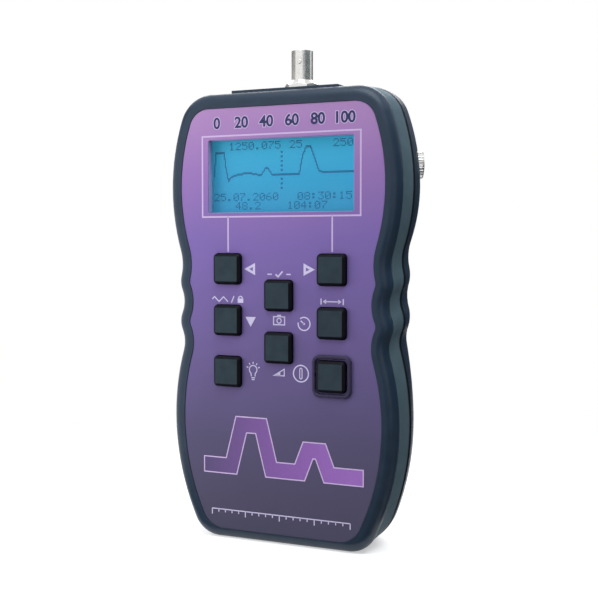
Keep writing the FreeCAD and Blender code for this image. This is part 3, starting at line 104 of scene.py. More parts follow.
class Look:
    """A material made of nodes round one principled shader, with patterns in the object's own metres."""

    def __init__(self, name, **sockets):
        self.material = bpy.data.materials.new(name)
        self.material.use_nodes = True
        self.tree = self.material.node_tree
        self.shader = self.tree.nodes["Principled BSDF"]
        self.place = self.add("TexCoord").outputs["Object"]
        self.rounding = None
        for socket, value in sockets.items():
            self.set(socket.replace("_", " "), value)

    def add(self, kind, settings=None, inputs=None):
        made = self.tree.nodes.new("ShaderNode" + kind)
        for key, value in (settings or {}).items():
            setattr(made, key, value)
        for key, value in (inputs or {}).items():
            self.join(value, made.inputs[key])
        return made

    def join(self, value, socket):
        if isinstance(value, bpy.types.NodeSocket):
            self.tree.links.new(value, socket)
        else:
            socket.default_value = value

    def set(self, socket, value):
        self.join(value, self.shader.inputs[socket])

    def reckon(self, operation, first, second=None):
        """One step of arithmetic on one or two values."""
        inputs = {0: first} if second is None else {0: first, 1: second}
        return self.add("Math", {"operation": operation}, inputs).outputs[0]

    def noise(self, size, detail=2.0):
        """A cloudy pattern from 0 to 1 whose patches are about as large as the size in mm."""
        inputs = {"Vector": self.place, "Scale": 1 / (size * MM), "Detail": detail}
        return self.add("TexNoise", inputs=inputs).outputs["Fac"]

    def bands(self, pitch, direction):
        """Soft lines across one axis, a pitch in mm apart."""
        settings = {"bands_direction": direction}
        inputs = {"Vector": self.place, "Scale": math.tau / (WAVE_RATE * pitch * MM)}
        return self.add("TexWave", settings, inputs).outputs["Fac"]

    def bricks(self, size, joint, width=1.0, height=1.0, offset=0.0):
        """1 on the joints and 0 on the bricks of a wall that faces the front, size in mm."""
        upright = self.add("Mapping", inputs={"Vector": self.place, "Rotation": (math.pi / 2, 0, 0)})
        inputs = {
            "Vector": upright.outputs[0], "Scale": 1 / (size * MM), "Mortar Size": joint,
            "Brick Width": width, "Row Height": height,
        }
        return self.add("TexBrick", {"offset": offset}, inputs).outputs["Fac"]

    def between(self, value, low, high, start=NOISE_LOW, end=NOISE_HIGH):
        """Low up to the start of a value, high from its end on, and even in between."""
        inputs = {"Value": value, "From Min": start, "From Max": end, "To Min": low, "To Max": high}
        return self.add("MapRange", inputs=inputs).outputs[0]

    def blend(self, share, first, second):
        mix = self.add("Mix", {"data_type": "RGBA"})
        self.join(share, mix.inputs["Factor"])
        self.join(first, mix.inputs["A"])
        self.join(second, mix.inputs["B"])
        return mix.outputs["Result"]

    def ramp(self, value, stops):
        made = self.add("ValToRGB", inputs={"Fac": value})
        elements = made.color_ramp.elements
        while len(elements) < len(stops):
            elements.new(0.5)
        for element, (place, colour) in zip(elements, stops):
            element.position = place
            element.color = colour
        return made.outputs["Color"]

    def along(self, axis):
        """One coordinate of the surface, in metres."""
        return self.add("SeparateXYZ", inputs={"Vector": self.place}).outputs[axis]

    def share_of(self, node, axis):
        """From 0 at a node's lowest place on an axis to 1 at its highest."""
        low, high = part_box(node)
        index = "XYZ".index(axis)
        return self.between(self.along(axis), 0, 1, low[index], high[index])

    def mottled(self, dark, light, size, detail):
        """Two colours in cloudy patches, size in mm."""
        return self.blend(self.between(self.noise(size, detail), 0, 1), dark, light)

    def shine(self, low, high, size, detail):
        """Roughness that wanders between two values in patches, size in mm."""
        self.set("Roughness", self.between(self.noise(size, detail), low, high))

    def round_edges(self, radius):
        """Softens the light on every edge as a moulded or turned radius in mm would."""
        self.rounding = self.add("Bevel", {"samples": BEVEL_SAMPLES}, {"Radius": radius * MM}).outputs[0]

    def wear_and_highlight(self, share):
        """From 0 on flat places to the share on edges, from how far the rounding turns the surface: the mask
        of rubbed wear and painted highlight on edges.
        """
        flat = self.add("NewGeometry").outputs["Normal"]
        settings = {"operation": "DOT_PRODUCT"}
        turned = self.add("VectorMath", settings, {0: flat, 1: self.rounding}).outputs["Value"]
        return self.between(turned, share, 0, WEAR_AND_HIGHLIGHT_FULL, WEAR_AND_HIGHLIGHT_NONE)

    def bump(self, height, depth):
        """Relief from a pattern, its depth in mm, over the rounded edges."""
        inputs = {"Height": height, "Distance": depth * MM}
        if self.rounding:
            inputs["Normal"] = self.rounding
        self.set("Normal", self.add("Bump", inputs=inputs).outputs[0])

    def grain(self, size, depth, detail=1):
        """Fine cloudy relief, size and depth in mm."""
        self.bump(self.noise(size, detail), depth)


def plastic(name, dark, light, roughness, grain, depth, edge=None, specular=0.2):
    """Moulded plastic: cloudy colour, fine sparked texture, soft edges that are a little rubbed and lighter
    as a painted highlight.
    """
    spread = 0.06
    look = Look(name, Specular_IOR_Level=specular)
    look.round_edges(MOULDED_RADIUS)
    colour = look.mottled(dark, light, size=9, detail=4)
    if edge:
        # Lighter edges: partly rubbed wear, partly a painted highlight.
        colour = look.blend(look.wear_and_highlight(share=0.3), colour, edge)
    look.set("Base Color", colour)
    look.shine(roughness - spread, roughness + spread, size=3, detail=3)
    look.grain(grain, depth)
    return look


def grip_look():
    """Soft elastomer, darker in a narrow band along the joint of the shells."""
    dark_band_begin = 1.5 * MM
    dark_band_full = 1.2 * MM
    look = Look("grip_elastomer", Specular_IOR_Level=0.15)
    look.round_edges(MOULDED_RADIUS)
    colour = look.mottled(tone(68, 86, 96), tone(76, 94, 104), size=9, detail=4)
    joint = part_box("right_grip")[1].y
    # Darker in a narrow band along the rear edge, next to the joint of the shells.
    dark_band = look.between(look.along("Y"), 0, 1, joint - dark_band_begin, joint - dark_band_full)
    look.set("Base Color", look.blend(dark_band, colour, tone(16, 20, 24)))
    look.shine(low=0.56, high=0.68, size=3, detail=3)
    look.grain(size=0.45, depth=0.035)
    return look


def metal(name, dark, light, roughness, pitch, direction, depth=0.004):
    """Plated or turned metal: fine tool marks and patchy shine."""
    smoother = 0.05
    rougher = 0.07
    look = Look(name, Metallic=1.0)
    look.round_edges(TURNED_RADIUS)
    look.set("Base Color", look.mottled(dark, light, size=2.5, detail=4))
    look.shine(roughness - smoother, roughness + rougher, size=1.2, detail=3)
    look.bump(look.bands(pitch, direction), depth)
    return look


def overlay_look():
    """Printed sheet: lilac at the top, through violet, to slate purple at the bottom, with painted shade that
    darkens it further towards the bottom.
    """
    drift = 0.012
    speckle = 0.06
    look = Look("overlay_print_and_shade", Specular_IOR_Level=0.15)
    wander = look.between(look.noise(size=30, detail=1), -drift, drift)
    # The ramp holds the printed gradient and painted shade towards the bottom.
    colour = look.ramp(look.reckon("ADD", look.share_of("front_overlay", "Z"), wander), (
        (0.0, tone(76, 73, 93)),
        (0.22, tone(88, 81, 112)),
        (0.5, tone(114, 97, 152)),
        (0.68, tone(126, 104, 170)),
        (0.86, tone(152, 116, 178)),
        (1.0, tone(171, 133, 184)),
    ))
    specks = look.between(look.noise(size=0.25, detail=1), 0, speckle)
    look.set("Base Color", look.blend(specks, colour, tone(40, 36, 58)))
    look.shine(low=0.42, high=0.52, size=5, detail=2)
    look.round_edges(SHEET_RADIUS)
    look.grain(size=0.18, depth=0.006)
    return look


def ink_body(name):
    """Printed ink without its colour: half matt, with the faint relief of a screen."""
    look = Look(name, Specular_IOR_Level=0.3)
    look.shine(low=0.45, high=0.55, size=2, detail=2)
    look.grain(size=0.12, depth=0.004)
    return look


def ink_look(name, colour, faded):
    """Ink of one colour, thinner in small patches."""
    look = ink_body(name)
    look.set("Base Color", look.mottled(colour, faded, size=0.6, detail=3))
    return look


def motif_look():
    """Ink that brightens from the left edge of the panel to the right."""
    speckle = 0.12
    look = ink_body("violet_ink")
    colour = look.ramp(look.share_of("front_overlay", "X"), (
        (0.1, tone(84, 74, 112)),
        (0.5, tone(134, 92, 164)),
        (0.85, tone(158, 108, 190)),
    ))
    specks = look.between(look.noise(size=0.5, detail=2), 0, speckle)
    look.set("Base Color", look.blend(specks, colour, tone(70, 58, 96)))
    return look


def window_look():
    """Clear pane: nearly nothing but a faint tint and its shine."""
    look = Look("clear_pane", Alpha=0.06, IOR=1.49, Specular_IOR_Level=0.15)
    look.set("Base Color", look.mottled(tone(90, 150, 175), tone(110, 165, 185), size=12, detail=2))
    look.shine(low=0.06, high=0.14, size=6, detail=3)
    look.grain(size=3, depth=0.002, detail=2)
    return look


def display_look():
    """Lit display: blue with a faint net between the dots, a little deeper towards its lower edge."""
    net_share = 0.1
    look = Look("display_blue", Specular_IOR_Level=0.1, Emission_Strength=0.5)
    colour = look.ramp(look.share_of("lcd_glass", "Z"), (
        (0.0, tone(50, 127, 165)),
        (0.5, tone(47, 139, 178)),
        (1.0, tone(54, 157, 190)),
    ))
    net = look.between(look.bricks(DOT, joint=0.06), 0, net_share, 0, 1)
    colour = look.blend(net, colour, tone(84, 172, 200))
    look.set("Base Color", colour)
    look.set("Emission Color", colour)
    look.shine(low=0.3, high=0.42, size=8, detail=2)
    look.grain(size=0.5, depth=0.002)
    return look


def key_look():
    """Key caps: grey textured tops, with sides and bevels painted near-black as shade."""
    middle = 0.5
    top_ends = 0.405
    shade_begins = 0.43
    look = Look("key_cap", Specular_IOR_Level=0.12)
    look.round_edges(CAP_RADIUS)
    spot = look.add("SeparateXYZ", inputs={"Vector": look.add("TexCoord").outputs["Generated"]})
    away = []
    for axis in "XZ":
        away.append(look.reckon("ABSOLUTE", look.reckon("SUBTRACT", spot.outputs[axis], middle)))
    # Sides and bevels painted near-black: painted shade round the key top.
    side = look.between(look.reckon("MAXIMUM", *away), 0, 1, top_ends, shade_begins)
    top = look.mottled(tone(43, 54, 62), tone(50, 62, 69), size=4, detail=3)
    look.set("Base Color", look.blend(side, top, tone(15, 15, 22)))
    look.shine(low=0.5, high=0.62, size=2, detail=3)
    look.grain(size=0.22, depth=0.02)
    return look


def board_look():
    """Circuit board: green mask with paler tracks."""
    look = Look("circuit_board", Specular_IOR_Level=0.5)
    tracks = look.bricks(size=2.4, joint=0.1, width=3.0, height=0.6, offset=0.37)
    green = look.mottled(tone(22, 74, 48), tone(28, 86, 56), size=6, detail=3)
    look.set("Base Color", look.blend(tracks, green, tone(52, 122, 78)))
    look.shine(low=0.28, high=0.4, size=1.5, detail=2)
    look.bump(tracks, depth=0.03)
    return look


def cell_look():
    """Round cell in a plain sleeve with one band and bright steel ends."""
    end = 0.03
    band_low = 0.2
    band_high = 0.27
    sharp = 0.005
    look = Look("cell_sleeve", Metallic=0.6)
    height = look.share_of("battery_cells", "Z")
    ends = look.ramp(height, ((end, WHITE), (end + sharp, BLACK), (1 - end, BLACK), (1 - end + sharp, WHITE)))
    band = look.ramp(height, (
        (band_low, BLACK), (band_low + sharp, WHITE), (band_high, WHITE), (band_high + sharp, BLACK),
    ))
    sleeve = look.mottled(tone(56, 88, 66), tone(64, 98, 74), size=5, detail=2)
    printed = look.blend(band, sleeve, tone(196, 178, 120))
    look.set("Base Color", look.blend(ends, printed, tone(190, 188, 182)))
    look.shine(low=0.3, high=0.42, size=2, detail=3)
    look.grain(size=1.5, depth=0.02, detail=2)
    return look


# Plastic: name, dark and light colour, roughness, grain and its depth in mm, edge colour for rubbed wear and
# painted highlight, specular level.
# Metal: name, dark and light colour, roughness, pitch of the tool marks in mm, axis that they lie across.
# Lighter shell edges: rubbed wear and a painted highlight.
SHELL_EDGE = tone(40, 58, 78)
LOOKS = {
    "shell": plastic("shell_plastic", tone(28, 43, 60), tone(33, 49, 67), 0.36, 0.32, 0.02, SHELL_EDGE, 0.4),
    "grip": grip_look(),
    "overlay": overlay_look(),
    "guard": plastic("guard_smoke", tone(54, 49, 72), tone(62, 56, 82), 0.3, 0.4, 0.008, tone(100, 92, 118)),
    "window": window_look(),
    "display_frame": metal("frame_black", tone(40, 41, 46), tone(52, 53, 58), 0.45, 0.3, "X"),
    "display_glass": display_look(),
    "display_light": plastic("light_guide", tone(205, 218, 224), tone(220, 230, 234), 0.35, 1.2, 0.02),
    "board": board_look(),
    "key": key_look(),
    "switch": plastic("switch_black", tone(24, 24, 27), tone(32, 32, 35), 0.5, 0.3, 0.015, tone(58, 58, 62)),
    "plunger": plastic("plunger_natural", tone(196, 190, 176), tone(208, 202, 190), 0.45, 0.4, 0.01),
    "chip": plastic("chip_black", tone(20, 20, 22), tone(27, 27, 29), 0.55, 0.15, 0.012, tone(60, 60, 62)),
    "nickel": metal("nickel_plate", tone(228, 227, 224), tone(240, 239, 237), 0.2, 0.16, "Z"),
    "insulator": plastic("insulator_white", tone(226, 224, 216), tone(238, 236, 230), 0.4, 0.5, 0.008),
    "gold": metal("gold_plate", tone(206, 162, 84), tone(222, 184, 106), 0.22, 0.2, "Z"),
    "lead": plastic("lead_jacket", tone(24, 24, 26), tone(34, 34, 36), 0.5, 0.6, 0.02),
    "cell": cell_look(),
    "tray": plastic("tray_black", tone(30, 31, 34), tone(40, 41, 44), 0.52, 0.35, 0.02, tone(72, 74, 78)),
    "spring": metal("spring_strip", tone(186, 182, 172), tone(206, 203, 194), 0.28, 0.25, "X"),
    "door": plastic("door_plastic", tone(28, 43, 60), tone(33, 49, 67), 0.4, 0.32, 0.025, SHELL_EDGE, 0.4),
    "screw": metal("screw_black", tone(58, 58, 62), tone(78, 78, 82), 0.35, 0.2, "Y"),
    "insert": metal("insert_brass", tone(186, 150, 78), tone(204, 168, 96), 0.3, 0.5, "Y"),
    "gasket": plastic("gasket_rubber", tone(18, 18, 20), tone(26, 26, 28), 0.7, 0.4, 0.02),
}
PALE_INK = ink_look("pale_ink", tone(208, 184, 222), tone(196, 172, 214))
WHITE_INK = ink_look("white_ink", tone(214, 204, 234), tone(202, 192, 224))
NAVY_INK = ink_look("navy_ink", tone(42, 47, 84), tone(52, 57, 96))
DOT_INK = ink_look("dot_blue", tone(26, 86, 138), tone(32, 96, 146))
LINING = plastic("lining_lilac", tone(150, 158, 200), tone(160, 168, 208), 0.5, 0.4, 0.01)
VIOLET_INK = motif_look()

SLOT_OF = {entry["node"]: entry["material_slot"] for entry in frame["record"]["subparts"]}
for name, node in frame["nodes"].items():
    for slot in node.material_slots:
        slot.material = LOOKS[SLOT_OF[name]].material


# Prints

# Least cosine of half a bend, so that the mitre of a sharp bend stays short.
MITRE_LIMIT = 0.3


class Print:
    """Flat ink shapes gathered in one mesh: each is a thin closed solid that stands on a plane y."""

    def __init__(self, name, look, plane, height):
        self.name = name
        self.look = look
        self.front = plane - height
        self.back = plane + SINK
        self.mesh = bmesh.new()

    def corners(self, spots):
        layers = []
        for depth in (self.front, self.back):
            layers.append([self.mesh.verts.new((x * MM, depth, z * MM)) for x, z in spots])
        return layers

    def plate(self, spots):
        """A convex shape, its corners counter-clockwise as seen from the front."""
        front, back = self.corners(spots)
        self.mesh.faces.new(front)
        self.mesh.faces.new(back[::-1])
        for here in range(len(spots)):
            self.mesh.faces.new((front[here], front[here - 1], back[here - 1], back[here]))

    def line(self, spots, width, closed=False):
        """A line of even width through the spots, mitred where it bends."""
        sides = edges(spots, width, closed)
        left_front, left_back = self.corners(sides[0])
        right_front, right_back = self.corners(sides[1])
        count = len(spots)
        for here in range(count if closed else count - 1):
            there = (here + 1) % count
            self.mesh.faces.new((left_front[here], right_front[here], right_front[there], left_front[there]))
            self.mesh.faces.new((left_back[there], right_back[there], right_back[here], left_back[here]))
            self.mesh.faces.new((left_front[there], left_back[there], left_back[here], left_front[here]))
            self.mesh.faces.new((right_front[here], right_back[here], right_back[there], right_front[there]))
        if not closed:
            self.mesh.faces.new((left_front[0], left_back[0], right_back[0], right_front[0]))
            self.mesh.faces.new((right_front[-1], right_back[-1], left_back[-1], left_front[-1]))

    def rectangle(self, x, z, width, height):
        self.plate(boxed(x, z, width, height))

    def piece(self, slot="overlay"):
        bmesh.ops.recalc_face_normals(self.mesh, faces=self.mesh.faces)
        mesh = bpy.data.meshes.new(self.name)
        self.mesh.to_mesh(mesh)
        self.mesh.free()
        made = bpy.data.objects.new(self.name, mesh)
        bpy.context.collection.objects.link(made)
        dress(made, self.look)


def dress(piece, look):
    """Gives a new piece its material and slot, and fixes it to the case."""
    piece.data.materials.append(look.material)
    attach(piece, "case")


def edges(spots, width, closed):
    """Left and right edges of a line through the spots."""
    points = [Vector(spot) for spot in spots]
    left = []
    right = []
    for here, point in enumerate(points):
        before = points[here - 1] if closed or here else None
        after = points[(here + 1) % len(points)] if closed or here + 1 < len(points) else None
        runs = []
        if before is not None:
            runs.append((point - before).normalized())
        if after is not None:
            runs.append((after - point).normalized())
        across = sum((Vector((-run.y, run.x)) for run in runs), Vector((0, 0))).normalized()
        reach = width / 2 / max(across.dot(Vector((-runs[0].y, runs[0].x))), MITRE_LIMIT)
        left.append(point + across * reach)
        right.append(point - across * reach)
    return left, right


def spot_at(x, z, radius, angle):
    """The spot on a circle at an angle in degrees."""
    turn = math.radians(angle)
    return x + radius * math.cos(turn), z + radius * math.sin(turn)


def arc(x, z, radius, start=0, end=360, steps=28):
    """Spots along part of a circle, angles in degrees."""
    return [spot_at(x, z, radius, start + (end - start) * step / steps) for step in range(steps + 1)]


def ring(x, z, radius, steps=32):
    """Spots round a whole circle."""
    return arc(x, z, radius, steps=steps)[:-1]


def boxed(x, z, width, height):
    """Corners of a rectangle about its middle, counter-clockwise."""
    half = width / 2
    rise = height / 2
    return [(x - half, z - rise), (x + half, z - rise), (x + half, z + rise), (x - half, z + rise)]


def middle_of(node):
    """The middle of a node as seen from the front, in mm."""
    low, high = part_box(node)
    centre = (low + high) / 2 / MM
    return centre.x, centre.z


# Widths of printed lines.
THREAD = 0.4
HAIR = 0.45
FINE = 0.5
FIRM = 0.55
STROKE = 0.7
BOLD = 1.1

VIEW_X, VIEW_Z = middle_of("lcd_bezel")
LEFT_X, TOP_ROW = middle_of("key_left_top")
RIGHT_X = -LEFT_X
MIDDLE_ROW = middle_of("key_left_middle")[1]
BOTTOM_ROW = middle_of("key_left_bottom")[1]
UPPER_CENTRE = middle_of("key_centre_top")[1]
KEY_HALF = (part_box("key_left_top")[1].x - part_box("key_left_top")[0].x) / 2 / MM


def display_lines():
    """Frame round the display and the two lines from it to the top keys."""
    frame_width = 77
    frame_height = 35.8
    key_gap = 0.9
    pale = Print("display_lines", PALE_INK, FACE, PRINT)
    pale.line(boxed(VIEW_X, VIEW_Z, frame_width, frame_height), STROKE, closed=True)
    for x in (LEFT_X, RIGHT_X):
        pale.line(((x, VIEW_Z - frame_height / 2), (x, TOP_ROW + KEY_HALF + key_gap)), STROKE)
    pale.piece()


def window_lining():
    """Pale lining of the display opening, from the clear pane to just below the face panel."""
    pane_lap = 4.5
    wall = 0.25
    drop = 0.3 * MM
    low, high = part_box("display_window")
    width = (high.x - low.x) / MM - 2 * pane_lap - wall
    height = (high.z - low.z) / MM - 2 * pane_lap - wall
    lining = Print("window_lining", LINING, low.y, low.y - FACE - drop)
    lining.line(boxed(VIEW_X, VIEW_Z, width, height), wall, closed=True)
    lining.piece()


# Signs beside the keys, each drawn about its own place.


def arrow_sign(marks, x, z, way):
    """An outlined triangle that points to the left (-1) or to the right (1)."""
    reach = 1.8
    back = x - way * reach
    marks.line(((x + way * reach, z), (back, z + reach), (back, z - reach)), BOLD, closed=True)


def down_sign(marks, x, z):
    """A filled triangle that points down."""
    half = 2.6
    rise = 2.2
    marks.plate(((x, z - rise), (x + half, z + rise), (x - half, z + rise)))


def camera_sign(marks, x, z):
    """A box with a finder on it and a lens in it."""
    body_width = 5.4
    body_height = 3.5
    finder_rise = 2.3
    finder_width = 2.0
    finder_height = 0.7
    lens_radius = 1.05
    lens_steps = 16
    marks.line(boxed(x, z, body_width, body_height), FINE, closed=True)
    marks.rectangle(x, z + finder_rise, finder_width, finder_height)
    marks.line(ring(x, z, lens_radius, lens_steps), HAIR, closed=True)


def timer_sign(marks, x, z):
    """An open ring with a hub and one hand."""
    radius = 2.85
    ring_begin = 130
    ring_end = -190
    hub = 0.9
    hand_across = 1.6
    hand_rise = 1.3
    marks.line(arc(x, z, radius, ring_begin, ring_end), FIRM)
    marks.line(((x, z), (x - hand_across, z + hand_rise)), FIRM)
    marks.rectangle(x, z, hub, hub)


def lamp_sign(marks, x, z):
    """A bulb with its neck, two turns of its cap and five rays."""
    radius = 1.9
    bulb_begin = 235
    bulb_end = -55
    bulb_steps = 20
    neck_half = 0.9
    neck_drop = 3.0
    cap_turns = ((0.9, 3.6), (0.7, 4.4))
    ray_begin = 2.6
    ray_end = 3.5
    ray_angles = (20, 55, 90, 125, 160)
    bulb = arc(x, z, radius, bulb_begin, bulb_end, bulb_steps)
    marks.line([(x - neck_half, z - neck_drop)] + bulb + [(x + neck_half, z - neck_drop)], HAIR)
    for half, drop in cap_turns:
        marks.line(((x - half, z - drop), (x + half, z - drop)), HAIR)
    for angle in ray_angles:
        marks.line((spot_at(x, z, ray_begin, angle), spot_at(x, z, ray_end, angle)), HAIR)


def wedge_sign(marks, x, z):
    """A rising wedge, outlined, its thin end filled."""
    half = 2.5
    drop = 1.4
    rise = 1.5
    fill_begin = -2.2
    fill_end = 0.6
    fill_rise = 0.3
    marks.line(((x - half, z - drop), (x + half, z - drop), (x + half, z + rise)), HAIR, closed=True)
    marks.plate(((x + fill_begin, z - drop), (x + fill_end, z - drop), (x + fill_end, z + fill_rise)))


def power_sign(marks, x, z):
    """A ring round an upright slot."""
    radius = 3.6
    slot_rise = 1.8
    slot_radius = 0.55
    slot_steps = 8
    upper = arc(x, z + slot_rise, slot_radius, 0, 180, slot_steps)
    lower = arc(x, z - slot_rise, slot_radius, 180, 360, slot_steps)
    marks.line(ring(x, z, radius), FIRM, closed=True)
    marks.line(upper + lower, THREAD, closed=True)


def tick_sign(marks, x, z):
    """A tick between two dashes."""
    reach = 1.7
    heel = 0.5
    dip = 1.1
    rise = 1.3
    dash_away = 4.6
    dash_half = 1.1
    marks.line(((x - reach, z), (x - heel, z - dip), (x + reach, z + rise)), STROKE)
    for dash in (x - dash_away, x + dash_away):
        marks.line(((dash - dash_half, z), (dash + dash_half, z)), FIRM)


def sweep_sign(marks, x, z):
    """A zigzag sweep, a slanted line and a padlock."""
    sweep_away = 8.2
    sweep_pitch = 1.15
    sweep_rise = (0, 1.1, 0, -1.1)
    sweep_spots = 8
    slant_begin = 1.6
    slant_end = 2.9
    slant_drop = 1.4
    slant_rise = 1.5
    lock_x = x + 6.2
    lock_shift = 0.5
    lock_width = 2.8
    lock_height = 1.9
    shackle_radius = 0.95
    shackle_steps = 12
    sweep = []
    for step in range(sweep_spots):
        sweep.append((x - sweep_away + step * sweep_pitch, z + sweep_rise[step % len(sweep_rise)]))
    marks.line(sweep, FINE)
    marks.line(((x + slant_begin, z - slant_drop), (x + slant_end, z + slant_rise)), FINE)
    marks.rectangle(lock_x, z - lock_shift, lock_width, lock_height)
    marks.line(arc(lock_x, z + lock_shift, shackle_radius, 0, 180, shackle_steps), FINE)


def span_sign(marks, x, z):
    """A double arrow between two stops."""
    stop_away = 5.2
    stop_rise = 1.3
    tip_gap = 0.8
    head_length = 1.6
    head_half = 1.0
    shaft_half = 3.2
    for side in (-1, 1):
        stop = x + side * stop_away
        tip = stop - side * tip_gap
        base = tip - side * head_length
        marks.line(((stop, z - stop_rise), (stop, z + stop_rise)), FIRM)
        marks.plate(((tip, z), (base, z + side * head_half), (base, z - side * head_half)))
    marks.line(((x - shaft_half, z), (x + shaft_half, z)), FINE)


def key_symbols():
    """All signs beside and above the keys, in one print."""
    arrow_away = 11.2
    down_away = 11.3
    down_drop = 0.5
    camera_rise = 0.4
    timer_away = 13.3
    timer_drop = 0.6
    lamp_away = 12.5
    lamp_rise = 1.2
    wedge_rise = 0.6
    power_away = 14.8
    power_rise = 0.6
    above_key = KEY_HALF + 2.6
    marks = Print("key_symbols", WHITE_INK, FACE, PRINT)
    arrow_sign(marks, LEFT_X + arrow_away, TOP_ROW, -1)
    arrow_sign(marks, RIGHT_X - arrow_away, TOP_ROW, 1)
    down_sign(marks, LEFT_X + down_away, MIDDLE_ROW - down_drop)
    camera_sign(marks, 0, MIDDLE_ROW + camera_rise)
    timer_sign(marks, RIGHT_X - timer_away, MIDDLE_ROW - timer_drop)
    lamp_sign(marks, LEFT_X + lamp_away, BOTTOM_ROW + lamp_rise)
    wedge_sign(marks, 0, BOTTOM_ROW + wedge_rise)
    power_sign(marks, RIGHT_X - power_away, BOTTOM_ROW + power_rise)
    tick_sign(marks, 0, UPPER_CENTRE + above_key)
    sweep_sign(marks, LEFT_X, MIDDLE_ROW + above_key)
    span_sign(marks, RIGHT_X, MIDDLE_ROW + above_key)
    marks.piece()


def pulse():
    """A broad pulse trace in the lower field: violet, brighter to the right, with a pale outline."""
    width = 7
    spots = (
        (-38, 33), (-24, 33), (-19, 52), (-9, 52), (-4, 33), (10, 33), (14, 43), (20, 43), (24, 33), (40, 33),
    )
    fill = Print("pulse_fill", VIOLET_INK, FACE, UNDER_PRINT)
    fill.line(spots, width)
    fill.piece()
    border = Print("pulse_border", PALE_INK, FACE, PRINT)
    left, right = edges(spots, width, False)
    border.line(left + right[::-1], FINE, closed=True)
    border.piece()


def lower_rule():
    """A plain rule with even divisions under it."""
    level = 13
    half = 34
    divisions = 20
    long_every = 5
    long_drop = 2.6
    short_drop = 1.4
    rule = Print("lower_rule", WHITE_INK, FACE, PRINT)
    rule.line(((-half, level), (half, level)), HAIR)
    for step in range(divisions + 1):
        x = -half + 2 * half * step / divisions
        drop = short_drop if step % long_every else long_drop
        rule.line(((x, level), (x, level - drop)), HAIR)
    rule.piece()


def numeral(name, words, x, z, height, look, fatten, lift):
    """Plain numerals as a thin solid on the panel."""
    curve = bpy.data.curves.new(name, "FONT")
    curve.body = words
    curve.size = height * MM
    curve.align_x = "CENTER"
    curve.offset = fatten * MM
    curve.extrude = lift / 2
    made = bpy.data.objects.new(name + "_curve", curve)
    mesh = bpy.data.meshes.new_from_object(made)
    bpy.data.objects.remove(made)
    piece = bpy.data.objects.new(name, mesh)
    for vertex in mesh.vertices:
        vertex.co = Vector((x * MM + vertex.co.x, FACE - lift / 2 - vertex.co.z, z * MM + vertex.co.y))
    bpy.context.collection.objects.link(piece)
    dress(piece, look)


def scale():
    """Numbers above the display: navy figures with a pale edge."""
    marks = 6
    value_step = 20
    pitch = 12.4
    level = 183.7
    height = 6.8
    edge_fatten = 0.48
    figure_fatten = 0.18
    for step in range(marks):
        x = (step - (marks - 1) / 2) * pitch
        words = str(step * value_step)
        numeral("scale_edge_%d" % step, words, x, level, height, PALE_INK, edge_fatten, UNDER_PRINT)
        numeral("scale_figure_%d" % step, words, x, level, height, NAVY_INK, figure_fatten, PRINT)


# Display picture: a trace with a step and two echoes, a dotted cursor and plain figures, by column and line.
TRACE = (
    (0, 30), (1, 9), (9, 9), (10, 20), (13, 35), (16, 31), (22, 29), (31, 28), (43, 30), (47, 24), (49, 24),
    (53, 30), (77, 30), (80, 14), (83, 6), (87, 6), (94, 27), (97, 29), (127, 29),
)
CURSOR = 61
CURSOR_LINES = range(10, 46, 4)

# Figures on a field of 5 by 7 dots: strokes through spots, each spot given as its column and line.
STROKES = {
    "0": ("10 30 41 45 36 16 05 01 10", "14 32"),
    "1": ("11 20 26", "16 36"),
    "2": ("01 10 30 41 42 06 46",),
    "3": ("00 40 22 44 45 36 16 05",),
    "4": ("36 30 03 04 44",),
    "5": ("40 00 02 32 43 45 36 16 05",),
    "6": ("30 20 02 05 16 36 45 44 33 03",),
    "7": ("00 40 41 14 16",),
    "8": ("10 30 41 42 33 13 02 01 10", "13 04 05 16 36 45 44 33"),
    "9": ("43 13 02 01 10 30 41 44 26 16",),
    ".": ("15 25 26 16",),
    ":": ("11 21 22 12", "14 24 25 15"),
}
FIGURE_PITCH = 6
FIGURES = (
    ("1250.075", 14, 1), ("25", 69, 1), ("250", 107, 1),
    ("25.07.2060", 0, 47), ("08:30:15", 76, 47), ("48.2", 20, 55), ("104:07", 67, 55),
)


def dots_along(spots):
    """Columns and lines of the dots on straight runs from spot to spot."""
    for begin, end in zip(spots, spots[1:]):
        steps = max(abs(end[0] - begin[0]), abs(end[1] - begin[1]))
        for step in range(steps + 1):
            share = step / steps
            yield round(begin[0] + share * (end[0] - begin[0])), round(begin[1] + share * (end[1] - begin[1]))


def dark_dots():
    """All dots of the picture, by column and line."""
    dark = set()
    for column, line in dots_along(TRACE):
        dark.update({(column, line), (column, line + 1)})
    for line in CURSOR_LINES:
        dark.update((CURSOR + across, line + down) for across in range(2) for down in range(2))
    for words, column, line in FIGURES:
        for place, sign in enumerate(words):
            for stroke in STROKES[sign]:
                spots = [(int(across), int(down)) for across, down in stroke.split()]
                for across, down in dots_along(spots):
                    dark.add((column + place * FIGURE_PITCH + across, line + down))
    return sorted(dark)


def display_picture():
    """The dots of the picture, as one print on the glass."""
    dots = Print("display_dots", DOT_INK, GLASS, DOT_HEIGHT)
    for column, line in dark_dots():
        x = VIEW_X + (column - (COLUMNS - 1) / 2) * DOT
        z = VIEW_Z - (line - (ROWS - 1) / 2) * ROW
        dots.rectangle(x, z, DOT * DOT_FILL, ROW * DOT_FILL)
    dots.piece("display_glass")


display_lines()
window_lining()
key_symbols()
pulse()
lower_rule()
scale()
display_picture()


# Stage: a pale floor that fades into the white surround, cards, soft light and the camera, in metres.

FLOOR_SIZE = 3.0
FLOOR_GAP = 0.1 * MM
FADE_END = 0.36
FADE_BEGIN = FADE_END / 3
FLOOR_GLOW = 0.5
SURROUND_LEVEL = 0.12

# Camera: lens and sensor in mm, angles in degrees.
LENS = 69.1
SENSOR = 36
CAMERA_PLACE = (0.2271, -0.4656, 0.1324)
CAMERA_DROP = 2.74
CAMERA_TURN = 26

